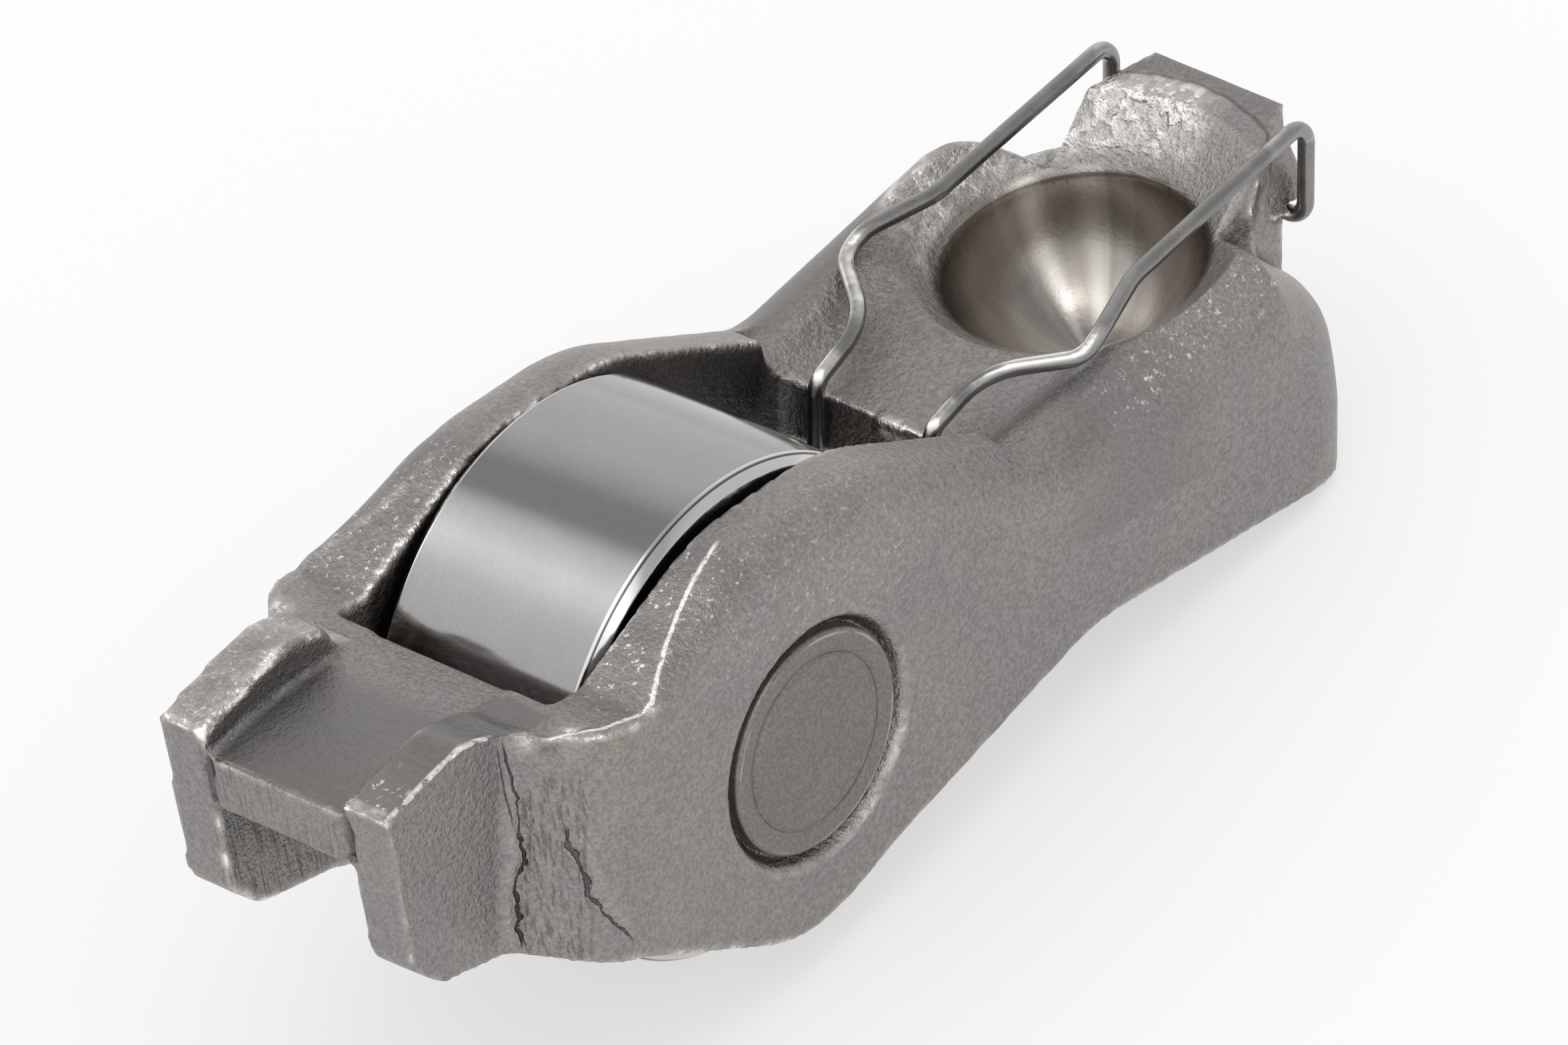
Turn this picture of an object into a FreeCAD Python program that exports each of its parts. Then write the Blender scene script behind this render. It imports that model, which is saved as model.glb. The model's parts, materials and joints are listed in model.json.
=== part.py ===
import FreeCAD, Part
import math
import os
import Sketcher

# Roller rocker arm of the finger follower kind, lying with its pivot socket and valve pad upwards.
# The arm's own axes start at the middle of the axle: X towards the socket, Y along the axle, Z up.
# All pieces are then tilted together until the roller and the heel stand on one level surface.

SIZES = {
    # widths of the arm, each from the middle plane
    "half_width": 7.95,
    "flange_outer": 5.1,
    "flange_inner": 3.1,
    "window_half": 4.78,
    "trough_half": 6.1,
    "trough_floor_half": 3.3,
    # top line of the valve end
    "tip_x": 19.3,
    "tip_z": 4.75,
    "flange_peak_x": 15.0,
    "flange_peak_z": 6.4,
    "flange_back_x": 12.9,
    "flange_back_z": 6.1,
    "foot_front_x": 12.2,
    "foot_back_x": 9.0,
    "foot_z": 5.0,
    # top line of the walls beside the roller
    "crest_front_x": 3.0,
    "crest_front_z": 8.5,
    "crest_back_x": 3.6,
    "crest_back_z": 8.95,
    "dip_x": 13.2,
    "dip_z": 5.5,
    # top line of the socket end
    "shoulder_x": 24.6,
    "top_slope": 14.5,
    "stern_x": 30.3,
    "stern_top_z": 4.6,
    "stern_lean": 0.9,
    "stern_lean_z": 0.8,
    # bottom line from the heel to the toe
    "skirt_z": 1.85,
    "skirt_front_x": 15.0,
    "belly_back_x": 4.4,
    "belly_back_z": 5.75,
    "belly_x": 0.2,
    "belly_z": 7.9,
    "chin_back_x": 9.0,
    "chin_back_z": 4.5,
    "chin_front_x": 12.7,
    "chin_front_z": 3.6,
    "toe_back_x": 16.3,
    "toe_back_z": 3.3,
    "toe_front_x": 17.9,
    "toe_front_z": 2.1,
    # places where the plan flares from the flanges to the walls
    "flare_front_x": 13.2,
    "flare_back_x": 10.6,
    # roundings of the arm
    "flange_round": 3.0,
    "flange_back_round": 0.4,
    "crest_round": 8.0,
    "dip_round": 4.0,
    "shoulder_round": 3.0,
    "skirt_round": 8.0,
    "belly_round": 6.0,
    "chin_round": 4.0,
    "toe_round": 1.2,
    "fold_round": 0.8,
    "flare_round": 2.6,
    "stern_round": 3.6,
    "lean_round": 8.0,
    "wall_round": 2.3,
    "heel_round": 0.6,
    # valve pad, its web and the roller window
    "pad_front_z": 3.7,
    "pad_back_z": 4.85,
    "pad_crown": 25.0,
    "web_thickness": 2.1,
    "window_front_x": 10.4,
    "window_back_x": 12.75,
    "window_round": 1.2,
    # trough, pivot socket and the hollow of the socket end
    "trough_z": 4.3,
    "trough_lead": 0.4,
    "roof_thickness": 2.3,
    "stern_wall": 2.8,
    "hollow_round": 2.0,
    "socket_x": 23.1,
    "socket_z": 6.1,
    "socket_radius": 4.75,
    "socket_wall": 1.7,
    "flare_height": 1.9,
    "flare_widening": 2.3,
    # lip that the clip snaps under
    "lip_root_x": 25.5,
    "lip_taper_x": 28.4,
    "lip_end_x": 31.0,
    "lip_neck_x": 29.95,
    "lip_under_z": 6.75,
    "lip_half": 3.9,
    "lip_end_half": 2.95,
    # roller, needles and axle pin
    "roller_radius": 9.3,
    "roller_width": 9.0,
    "roller_edge": 0.4,
    "needle_count": 16,
    "needle_radius": 1.0,
    "needle_length": 8.6,
    "needle_play": 0.02,
    "pin_radius": 4.2,
    "pin_setback": 0.06,
    "pin_edge": 0.12,
    "countersink": 0.46,
    "stake_radius": 3.3,
    "stake_half": 0.16,
    "stake_depth": 0.1,
    # wire clip
    "wire_radius": 0.31,
    "wire_gap": 0.08,
    "hook_half": 2.6,
    "hook_top_z": 5.0,
    "hook_drop": 3.9,
    "knee_x": 14.95,
    "knee_half": 2.7,
    "knee_z": 6.2,
    "bow_front_x": 17.1,
    "bow_half": 5.41,
    "bow_front_z": 6.85,
    "bow_back_x": 18.1,
    "bow_back_z": 7.5,
    "waist_x": 20.9,
    "waist_half": 4.5,
    "waist_z": 8.1,
    "loop_half": 4.42,
    "loop_top_z": 10.3,
    "wire_bend": 0.75,
    "bow_bend": 3.0,
}

NEAR = 1e-3
BEYOND = 3.0

doc = FreeCAD.newDocument("rocker_arm")
sheet = doc.addObject("Spreadsheet::Sheet", "dim")
for row, (alias, number) in enumerate(SIZES.items(), start=1):
    sheet.set(f"A{row}", alias)
    sheet.set(f"B{row}", str(number))
    sheet.setAlias(f"B{row}", alias)
doc.recompute()

# The level planes of the socket end rise with this slope in the arm's own axes.
RISE = "tan(dim.top_slope * 1 deg)"
SHOULDER_Z = f"dim.dip_z + {RISE} * (dim.shoulder_x - dim.dip_x)"
WINDOW_BACK_Z = f"(dim.dip_z + {RISE} * (dim.window_back_x - dim.dip_x))"
TROUGH_DEPTH = f"({WINDOW_BACK_Z} - dim.trough_z) * cos(dim.top_slope * 1 deg)"
LIP_END_Z = f"dim.dip_z + {RISE} * (dim.lip_end_x - dim.dip_x)"
LIP_ROOT_Z = f"dim.dip_z + {RISE} * (dim.lip_root_x - dim.dip_x)"


def value(expression):
    """The number that an expression on the sheet's sizes gives."""
    result = sheet.evalExpression(expression)
    return float(getattr(result, "Value", result))


def new_body(label):
    """An empty body that becomes one piece of the object."""
    body = doc.addObject("PartDesign::Body", label)
    body.Label = label
    return body


def new_sketch(body, name, role, lift=None):
    """A sketch on one of the body's origin planes, raised off it where lift is given."""
    sketch = body.newObject("Sketcher::SketchObject", name)
    plane = next(item for item in body.Origin.OriginFeatures if item.Role == role)
    sketch.AttachmentSupport = [(plane, "")]
    sketch.MapMode = "FlatFace"
    if lift:
        sketch.setExpression("AttachmentOffset.Base.z", lift)
    return sketch


def hold_point(sketch, item, end, place):
    """Ties one point of the sketch to its place, a pair of expressions in the sketch's own axes."""
    for kind, axis, expression in (("DistanceX", -2, place[0]), ("DistanceY", -1, place[1])):
        if expression == "0":
            sketch.addConstraint(Sketcher.Constraint("PointOnObject", item, end, axis))
        else:
            number = value(expression)
            index = sketch.addConstraint(Sketcher.Constraint(kind, -1, 1, item, end, number))
            sketch.setExpression(f"Constraints[{index}]", expression)


def hold_radius(sketch, item, radius):
    """Ties the radius of an arc or circle to an expression."""
    index = sketch.addConstraint(Sketcher.Constraint("Radius", item, value(radius)))
    sketch.setExpression(f"Constraints[{index}]", radius)


def add_arc(sketch, start, middle, end, radius):
    """An arc through three points; returns its number and which of its ends lie at start and end."""
    item = sketch.addGeometry(Part.Arc(start, middle, end))
    hold_radius(sketch, item, radius)
    return (item, 1, 2) if sketch.getPoint(item, 1).distanceToPoint(start) < NEAR else (item, 2, 1)


def arc_middle(start, end, radius, bulge):
    """The middle of an arc between two points that bulges to the right of its way, or to the left for -1."""
    chord = end - start
    sagitta = radius - math.sqrt(radius**2 - chord.Length**2 / 4)
    return (start + end) / 2 + FreeCAD.Vector(chord.y, -chord.x, 0).normalize() * sagitta * bulge


def draw_loop(sketch, corners, arcs=None):
    """A closed outline of corners (X, Y, rounding radius if any); arcs gives sides a radius and a bulge."""
    arcs = arcs or {}
    places = [FreeCAD.Vector(value(corner[0]), value(corner[1]), 0) for corner in corners]
    radii = [corner[2] if len(corner) > 2 else None for corner in corners]
    ways = [(after - before).normalize() for before, after in zip(places, places[1:] + places[:1])]
    leaving, arriving = [], []
    for place, radius, way_in, way_out in zip(places, radii, ways[-1:] + ways[:-1], ways):
        reach = value(radius) * math.tan(way_in.getAngle(way_out) / 2) if radius else 0.0
        arriving.append(place - way_in * reach)
        leaving.append(place + way_out * reach)
    sides = []
    for side, (start, end) in enumerate(zip(leaving, arriving[1:] + arriving[:1])):
        if side in arcs:
            radius, bulge = arcs[side]
            sides.append(add_arc(sketch, start, arc_middle(start, end, value(radius), bulge), end, radius))
        else:
            sides.append((sketch.addGeometry(Part.LineSegment(start, end)), 1, 2))
    for side, (corner, radius) in enumerate(zip(corners, radii)):
        before, after = sides[side - 1], sides[side]
        if not radius:
            sketch.addConstraint(Sketcher.Constraint("Coincident", before[0], before[2], after[0], after[1]))
            hold_point(sketch, after[0], after[1], corner)
            continue
        inward = (ways[side] - ways[side - 1]).normalize()
        half_turn = ways[side - 1].getAngle(ways[side]) / 2
        middle = places[side] + inward * value(radius) * (1 / math.cos(half_turn) - 1)
        item, first, last = add_arc(sketch, arriving[side], middle, leaving[side], radius)
        sketch.addConstraint(Sketcher.Constraint("Tangent", before[0], before[2], item, first))
        sketch.addConstraint(Sketcher.Constraint("Tangent", item, last, after[0], after[1]))
        point = sketch.addGeometry(Part.Point(places[side]), True)
        sketch.addConstraint(Sketcher.Constraint("PointOnObject", point, 1, before[0]))
        sketch.addConstraint(Sketcher.Constraint("PointOnObject", point, 1, after[0]))
        hold_point(sketch, point, 1, corner)


def draw_circle(sketch, radius):
    """A circle about the sketch's origin."""
    circle = sketch.addGeometry(Part.Circle(FreeCAD.Vector(0, 0, 0), FreeCAD.Vector(0, 0, 1), value(radius)))
    sketch.addConstraint(Sketcher.Constraint("Coincident", circle, 3, -1, 1))
    hold_radius(sketch, circle, radius)


def extrude(body, kind, name, sketch, length, reversed_way=False, symmetric=True):
    """A Pad or Pocket of a sketch; a Pocket has to take something away."""
    doc.recompute()
    before = body.Tip.Shape.Volume if body.Tip and body.Tip.Shape.Solids else 0.0
    feature = body.newObject(f"PartDesign::{kind}", name)
    feature.Profile = sketch
    feature.SideType = "Symmetric" if symmetric else "One side"
    feature.Reversed = reversed_way
    feature.setExpression("Length", length)
    doc.recompute()
    change = feature.Shape.Volume - before
    if (change > 0) != (kind == "Pad") or abs(change) < NEAR:
        raise ValueError(f"{name} changes the volume by {change:.4f} mm3")
    return feature


def dress(body, kind, name, size_name, size, wanted):
    """A Fillet or Chamfer on the edges of the body's present shape that the wanted test picks."""
    doc.recompute()
    base = body.Tip
    edges = [f"Edge{i}" for i, edge in enumerate(base.Shape.Edges, start=1) if wanted(edge)]
    if not edges:
        raise ValueError(f"{name} finds no edge")
    feature = body.newObject(f"PartDesign::{kind}", name)
    feature.Base = (base, edges)
    feature.setExpression(size_name, size)
    doc.recompute()
    if not feature.Shape.isValid() or feature.Shape.isNull():
        raise ValueError(f"{name} fails")
    return feature


def straight_at(direction, first, second):
    """A test for straight edges along Y through a point (X, Z), or along Z through a point (X, Y)."""
    across = "z" if direction == "Y" else "y"

    def test(edge):
        box, middle = edge.BoundBox, edge.CenterOfMass
        spread = math.hypot(box.XLength, box.ZLength if direction == "Y" else box.YLength)
        off = math.hypot(middle.x - first, abs(getattr(middle, across)) - abs(second))
        return spread < NEAR and off < 10 * NEAR

    return test


def round_corners(body, direction, corners):
    """Fillets the straight edges that stand on the outline's corners, one feature for each radius."""
    for number, radius in enumerate(dict.fromkeys(corner[2] for corner in corners if corner[2]), start=1):
        tests = [straight_at(direction, value(x), value(y)) for x, y, own in corners if own == radius]
        name = f"round_{direction.lower()}_{radius.split('.')[-1]}"
        dress(body, "Fillet", name, "Radius", radius, lambda edge: any(test(edge) for test in tests))


def mirrored(corners):
    """The same corners on the other side of the sketch's X axis, in an order that keeps them a loop."""
    return [(corner[0], f"-({corner[1]})") + tuple(corner[2:]) for corner in reversed(corners)]


# Side outline of the arm: each corner with the radius that rounds it, if any.
SIDE = [
    ("-dim.tip_x", "dim.tip_z", None),
    ("-dim.toe_front_x", "-dim.toe_front_z", "dim.toe_round"),
    ("-dim.toe_back_x", "-dim.toe_back_z", "dim.toe_round"),
    ("-dim.chin_front_x", "-dim.chin_front_z", "dim.chin_round"),
    ("-dim.chin_back_x", "-dim.chin_back_z", "dim.chin_round"),
    ("-dim.belly_x", "-dim.belly_z", "dim.belly_round"),
    ("dim.belly_back_x", "-dim.belly_back_z", "dim.belly_round"),
    ("dim.skirt_front_x", "-dim.skirt_z", "dim.skirt_round"),
    ("dim.stern_x", "-dim.skirt_z", "dim.heel_round"),
    ("dim.stern_x", "dim.stern_lean_z", "dim.lean_round"),
    ("dim.stern_x - dim.stern_lean", "dim.stern_top_z", None),
    ("dim.shoulder_x", SHOULDER_Z, "dim.shoulder_round"),
    ("dim.dip_x", "dim.dip_z", "dim.dip_round"),
    ("dim.crest_back_x", "dim.crest_back_z", "dim.crest_round"),
    ("-dim.crest_front_x", "dim.crest_front_z", "dim.crest_round"),
    ("-dim.foot_back_x", "dim.foot_z", None),
    ("-dim.foot_front_x", "dim.foot_z", "dim.flange_back_round"),
    ("-dim.flange_back_x", "dim.flange_back_z", "dim.flange_back_round"),
    ("-dim.flange_peak_x", "dim.flange_peak_z", "dim.flange_round"),
]

# What the plan outline leaves off beside the flanges of the valve end, and at the corners of the stern.
BESIDE_FLANGE = [
    (f"-(dim.tip_x + {BEYOND})", "dim.flange_outer", None),
    ("-dim.flare_front_x", "dim.flange_outer", "dim.fold_round"),
    ("-dim.flare_back_x", "dim.half_width", "dim.flare_round"),
    ("-(dim.flare_back_x - dim.flare_round)", "dim.half_width", None),
    ("-(dim.flare_back_x - dim.flare_round)", f"dim.half_width + {BEYOND}", None),
    (f"-(dim.tip_x + {BEYOND})", f"dim.half_width + {BEYOND}", None),
]
BESIDE_STERN = [
    ("dim.stern_x - dim.stern_round", "dim.half_width"),
    ("dim.stern_x", "dim.half_width - dim.stern_round"),
    (f"dim.stern_x + {BEYOND}", "dim.half_width - dim.stern_round"),
    (f"dim.stern_x + {BEYOND}", f"dim.half_width + {BEYOND}"),
    ("dim.stern_x - dim.stern_round", f"dim.half_width + {BEYOND}"),
]


def make_arm():
    """The pressed steel arm: walls, flanges, valve pad, trough, pivot socket, lip and axle holes."""
    body = new_body("arm_body")

    side = new_sketch(body, "side_outline", "XZ_Plane")
    draw_loop(side, [corner[:2] for corner in SIDE])
    extrude(body, "Pad", "blank", side, "2 * dim.half_width")
    round_corners(body, "Y", SIDE)

    plan = new_sketch(body, "plan_outline", "XY_Plane")
    draw_loop(plan, BESIDE_FLANGE)
    draw_loop(plan, mirrored(BESIDE_FLANGE))
    draw_loop(plan, BESIDE_STERN, arcs={0: ("dim.stern_round", -1)})
    draw_loop(plan, mirrored(BESIDE_STERN), arcs={3: ("dim.stern_round", -1)})
    extrude(body, "Pocket", "plan_trim", plan, "4 * (dim.crest_back_z + dim.belly_z)")

    half = value("dim.half_width")

    def top_outer(edge):
        box = edge.BoundBox
        at_side = abs(abs(box.YMin) - half) < NEAR and abs(abs(box.YMax) - half) < NEAR
        over_crest = box.ZMin > value("dim.crest_front_z") - 1 and abs(edge.CenterOfMass.x) < 2
        return at_side and box.YLength < NEAR and over_crest

    dress(body, "Fillet", "wall_edges", "Radius", "dim.wall_round", top_outer)

    lip = new_sketch(body, "lip_outline", "XZ_Plane")
    draw_loop(lip, [
        ("dim.lip_root_x", "dim.stern_top_z / 2"),
        ("dim.lip_neck_x", "dim.stern_top_z / 2"),
        ("dim.lip_neck_x", "dim.lip_under_z"),
        ("dim.lip_end_x", "dim.lip_under_z"),
        ("dim.lip_end_x", LIP_END_Z),
        ("dim.lip_root_x", LIP_ROOT_Z),
    ])
    extrude(body, "Pad", "lip", lip, "2 * dim.lip_half")
    taper = [
        ("dim.lip_taper_x", "dim.lip_half"),
        ("dim.lip_end_x", "dim.lip_end_half"),
        (f"dim.lip_end_x + {BEYOND}", "dim.lip_end_half"),
        (f"dim.lip_end_x + {BEYOND}", "dim.lip_half + 1"),
        ("dim.lip_taper_x", "dim.lip_half + 1"),
    ]
    lip_plan = new_sketch(body, "lip_plan", "XY_Plane", "dim.lip_under_z")
    draw_loop(lip_plan, taper)
    draw_loop(lip_plan, mirrored(taper))
    extrude(body, "Pocket", "lip_taper", lip_plan, LIP_END_Z, reversed_way=True, symmetric=False)

    pad = new_sketch(body, "pad_outline", "XZ_Plane")
    draw_loop(pad, [
        ("-dim.window_front_x", "dim.pad_back_z"),
        ("-dim.window_front_x", f"dim.flange_peak_z + {BEYOND}"),
        ("-dim.tip_x", f"dim.flange_peak_z + {BEYOND}"),
        ("-dim.tip_x", "dim.pad_front_z"),
    ], arcs={3: ("dim.pad_crown", -1)})
    extrude(body, "Pocket", "pad_recess", pad, "2 * dim.flange_inner")
    under_pad = new_sketch(body, "under_pad_outline", "XZ_Plane")
    draw_loop(under_pad, [
        ("-dim.tip_x", "dim.pad_front_z - dim.web_thickness"),
        ("-dim.tip_x", f"-(dim.belly_z + {BEYOND})"),
        ("-dim.window_front_x", f"-(dim.belly_z + {BEYOND})"),
        ("-dim.window_front_x", "dim.pad_back_z - dim.web_thickness"),
    ])
    extrude(body, "Pocket", "under_pad", under_pad, "2 * dim.flange_inner")

    window = [
        ("-dim.window_front_x", "-dim.window_half", None),
        ("dim.window_back_x", "-dim.window_half", "dim.window_round"),
        ("dim.window_back_x", "dim.window_half", "dim.window_round"),
        ("-dim.window_front_x", "dim.window_half", None),
    ]
    opening = new_sketch(body, "window_outline", "XY_Plane")
    draw_loop(opening, window)
    extrude(body, "Pocket", "roller_window", opening, "4 * (dim.crest_back_z + dim.belly_z)")

    roof_z = "dim.trough_z - dim.roof_thickness"
    hollow_x = "dim.stern_x - dim.stern_wall"
    hollow = new_sketch(body, "hollow_outline", "XZ_Plane")
    draw_loop(hollow, [
        ("dim.window_back_x - 1", f"-(dim.skirt_z + {BEYOND})"),
        (hollow_x, f"-(dim.skirt_z + {BEYOND})"),
        (hollow_x, f"{roof_z} + {RISE} * ({hollow_x} - dim.window_back_x)"),
        ("dim.window_back_x - 1", f"{roof_z} - {RISE}"),
    ])
    extrude(body, "Pocket", "hollow", hollow, "2 * dim.window_half")
    round_corners(body, "Z", [(hollow_x, "dim.window_half", "dim.hollow_round")])

    add_trough(body)
    add_socket(body)
    add_axle_holes(body)
    return body


def add_trough(body):
    """The trough between window and socket; each of its sides is two arcs that flow into floor and rim."""
    start = "(dim.window_back_x - dim.trough_lead)"
    section = new_sketch(body, "trough_section", "YZ_Plane", start)
    section.setExpression("AttachmentOffset.Base.y", f"dim.trough_z - {RISE} * dim.trough_lead")
    section.AttachmentOffset.Rotation.Axis = FreeCAD.Vector(1, 0, 0)
    section.setExpression("AttachmentOffset.Rotation.Angle", "-dim.top_slope")
    run = "(dim.trough_half - dim.trough_floor_half)"
    bend = f"({run}^2 + ({TROUGH_DEPTH})^2) / (4 * {TROUGH_DEPTH})"
    right = [
        ("dim.trough_floor_half", "0"),
        (f"dim.trough_floor_half + {run} / 2", f"{TROUGH_DEPTH} / 2"),
        ("dim.trough_half", TROUGH_DEPTH),
        ("dim.trough_half", f"{TROUGH_DEPTH} + {BEYOND}"),
    ]
    left = [(f"-({y})", z) for y, z in reversed(right)]
    bends = {0: (bend, 1), 1: (bend, -1), 5: (bend, -1), 6: (bend, 1)}
    draw_loop(section, right + left, arcs=bends)
    length = "(dim.socket_x - dim.window_back_x + dim.trough_lead) / cos(dim.top_slope * 1 deg)"
    extrude(body, "Pocket", "trough", section, length, reversed_way=True, symmetric=False)


def place_on_socket(feature):
    """Centres a round feature in the mouth of the socket, square to the level planes of that end."""
    feature.setExpression("AttachmentOffset.Base.x", "dim.socket_x")
    feature.setExpression("AttachmentOffset.Base.z", "dim.socket_z")
    feature.AttachmentOffset.Rotation.Axis = FreeCAD.Vector(0, 1, 0)
    feature.setExpression("AttachmentOffset.Rotation.Angle", "-dim.top_slope")


def add_socket(body):
    """The boss under the roof, the hemispherical bowl for the pivot's ball and its flared mouth."""
    ground = next(item for item in body.Origin.OriginFeatures if item.Role == "XY_Plane")
    stages = [("socket_boss", "AdditiveSphere"), ("socket_bowl", "SubtractiveSphere"),
              ("socket_flare", "SubtractiveCone")]
    for name, kind in stages:
        feature = body.newObject(f"PartDesign::{kind}", name)
        feature.AttachmentSupport = [(ground, "")]
        feature.MapMode = "FlatFace"
        place_on_socket(feature)
        if name == "socket_boss":
            feature.setExpression("Radius", "dim.socket_radius + dim.socket_wall")
            feature.Angle2 = 0
        elif name == "socket_bowl":
            feature.setExpression("Radius", "dim.socket_radius")
        else:
            height = f"(dim.flare_height + {BEYOND})"
            widening = f"dim.flare_widening / dim.flare_height * {height}"
            feature.setExpression("Height", height)
            feature.setExpression("Radius1", "dim.socket_radius")
            feature.setExpression("Radius2", f"dim.socket_radius + {widening}")
        doc.recompute()


def add_axle_holes(body):
    """The hole through both walls, countersunk where the pin's ends are staked."""
    hole = new_sketch(body, "axle_hole_outline", "XZ_Plane")
    draw_circle(hole, "dim.pin_radius")
    extrude(body, "Pocket", "axle_hole", hole, f"2 * dim.half_width + {BEYOND}")
    radius, half = value("dim.pin_radius"), value("dim.half_width")

    def outer_rim(edge):
        box = edge.BoundBox
        on_side = box.YLength < NEAR and abs(abs(box.YMin) - half) < NEAR
        return on_side and abs(box.XMax - radius) < 10 * NEAR and abs(box.XMin + radius) < 10 * NEAR

    dress(body, "Chamfer", "countersinks", "Size", "dim.countersink", outer_rim)


def make_turned(label, profile):
    """A turned piece about the Y axis, from half of its section as corners (radius, Y)."""
    body = new_body(label)
    section = new_sketch(body, f"{label}_section", "XY_Plane")
    draw_loop(section, profile)
    turned = body.newObject("PartDesign::Revolution", f"{label}_turned")
    turned.Profile = section
    turned.ReferenceAxis = (section, ["V_Axis"])
    turned.Angle = 360
    doc.recompute()
    return body


def make_pin():
    """The axle pin, with the ring that the staking punch leaves in both end faces."""
    end = "(dim.half_width - dim.pin_setback)"
    groove = [
        ("0", end),
        ("dim.stake_radius - dim.stake_half", end),
        ("dim.stake_radius", f"{end} - dim.stake_depth"),
        ("dim.stake_radius + dim.stake_half", end),
        ("dim.pin_radius - dim.pin_edge", end),
        ("dim.pin_radius", f"{end} - dim.pin_edge"),
    ]
    other_end = [(x, f"-({y})") for x, y in reversed(groove)]
    return make_turned("axle_pin", list(reversed(groove + other_end)))


def make_roller():
    """The roller ring, bored to run on the needles."""
    bore = "dim.pin_radius + 2 * (dim.needle_radius + dim.needle_play)"
    face = "dim.roller_width / 2"
    return make_turned("roller_ring", [
        (bore, f"-{face} + dim.roller_edge / 2"),
        (f"{bore} + dim.roller_edge / 2", f"-{face}"),
        ("dim.roller_radius - dim.roller_edge", f"-{face}"),
        ("dim.roller_radius", f"-{face} + dim.roller_edge"),
        ("dim.roller_radius", f"{face} - dim.roller_edge"),
        ("dim.roller_radius - dim.roller_edge", face),
        (f"{bore} + dim.roller_edge / 2", face),
        (bore, f"{face} - dim.roller_edge / 2"),
    ])


def make_needle(label):
    """One needle, a rod that starts upright at the origin."""
    needle = doc.addObject("Part::Cylinder", label)
    needle.Label = label
    needle.setExpression("Radius", "dim.needle_radius")
    needle.setExpression("Height", "dim.needle_length")
    doc.recompute()
    return needle


def clip_route():
    """The corners of the clip's middle line on one side, from the hook to the loop, each with its bend."""
    wire, gap = value("dim.wire_radius"), value("dim.wire_gap")
    hook_x = value("dim.window_back_x") - wire - 2 * gap
    bow_half = value("dim.bow_half")
    loop_x = value("dim.lip_neck_x") + wire + 2 * gap
    loop_under = value("dim.lip_under_z") - wire - 2 * gap
    hook_half, loop_half = value("dim.hook_half"), value("dim.loop_half")
    tight, wide = value("dim.wire_bend"), value("dim.bow_bend")
    hook_top = value("dim.hook_top_z")
    return [
        ((hook_x, hook_half, hook_top - value("dim.hook_drop")), 0),
        ((hook_x, hook_half, hook_top), tight),
        ((value("dim.knee_x"), value("dim.knee_half"), value("dim.knee_z")), wide),
        ((value("dim.bow_front_x"), bow_half, value("dim.bow_front_z")), wide),
        ((value("dim.bow_back_x"), bow_half, value("dim.bow_back_z")), wide),
        ((value("dim.waist_x"), value("dim.waist_half"), value("dim.waist_z")), wide),
        ((loop_x, loop_half, value("dim.loop_top_z")), tight),
        ((loop_x, loop_half, loop_under), tight),
    ]


def bent_path(corners):
    """A wire of straight runs and tangent arcs; a bend takes at most 0.45 of the shorter run beside it."""
    points = [FreeCAD.Vector(*place) for place, bend in corners]
    edges = []
    here = points[0]
    for before, corner, after, (place, bend) in zip(points, points[1:], points[2:], corners[1:]):
        arriving, leaving = (corner - before), (after - corner)
        half_turn = arriving.getAngle(leaving) / 2
        room = 0.45 * min(arriving.Length, leaving.Length)
        reach = min(room, bend * math.tan(half_turn))
        radius = reach / math.tan(half_turn)
        arriving.normalize()
        leaving.normalize()
        start, end = corner - arriving * reach, corner + leaving * reach
        inward = (leaving - arriving).normalize()
        middle = corner + inward * (radius / math.cos(half_turn) - radius)
        edges.append(Part.LineSegment(here, start).toShape())
        edges.append(Part.Arc(start, middle, end).toShape())
        here = end
    edges.append(Part.LineSegment(here, points[-1]).toShape())
    return Part.Wire(edges)


def make_clip():
    """The wire clip that holds the arm on its pivot: one bent spring wire, the same on both sides."""
    side = clip_route()
    other = [((x, -y, z), bend) for (x, y, z), bend in reversed(side)]
    path = bent_path(side + other)
    across = path.Edges[0].tangentAt(path.Edges[0].FirstParameter)
    section = Part.Wire(Part.makeCircle(value("dim.wire_radius"), path.OrderedVertexes[0].Point, across))
    clip = doc.addObject("Part::Feature", "wire_clip")
    clip.Label = "wire_clip"
    clip.Shape = path.makePipe(Part.Face(section))
    doc.recompute()
    expected = math.pi * value("dim.wire_radius") ** 2 * path.Length
    if abs(clip.Shape.Volume / expected - 1) > 0.01:
        raise ValueError(f"the clip's volume is {clip.Shape.Volume:.3f}, expected {expected:.3f}")
    return clip


def rest_placement(pieces):
    """Tilts the pieces onto roller and heel and sets the origin under the middle of their common box."""
    heel = FreeCAD.Vector(value("dim.stern_x - dim.heel_round"), 0, value("dim.heel_round - dim.skirt_z"))
    drop = value("dim.roller_radius - dim.heel_round")
    tilt = math.asin(drop / heel.Length) + math.atan2(heel.z, heel.x)
    turn = FreeCAD.Rotation(FreeCAD.Vector(0, 1, 0), math.degrees(tilt))
    box = FreeCAD.BoundBox()
    for piece in pieces:
        turned = piece.Shape.copy()
        turned.Placement = FreeCAD.Placement(FreeCAD.Vector(0, 0, 0), turn).multiply(turned.Placement)
        box.add(turned.optimalBoundingBox(False))
    return FreeCAD.Placement(FreeCAD.Vector(-box.Center.x, 0, value("dim.roller_radius")), turn)


arm = make_arm()
pin = make_pin()
roller = make_roller()
clip = make_clip()
rest = rest_placement([arm, roller, clip])
for piece in (arm, pin, roller, clip):
    piece.Placement = rest.multiply(piece.Placement)

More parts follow.
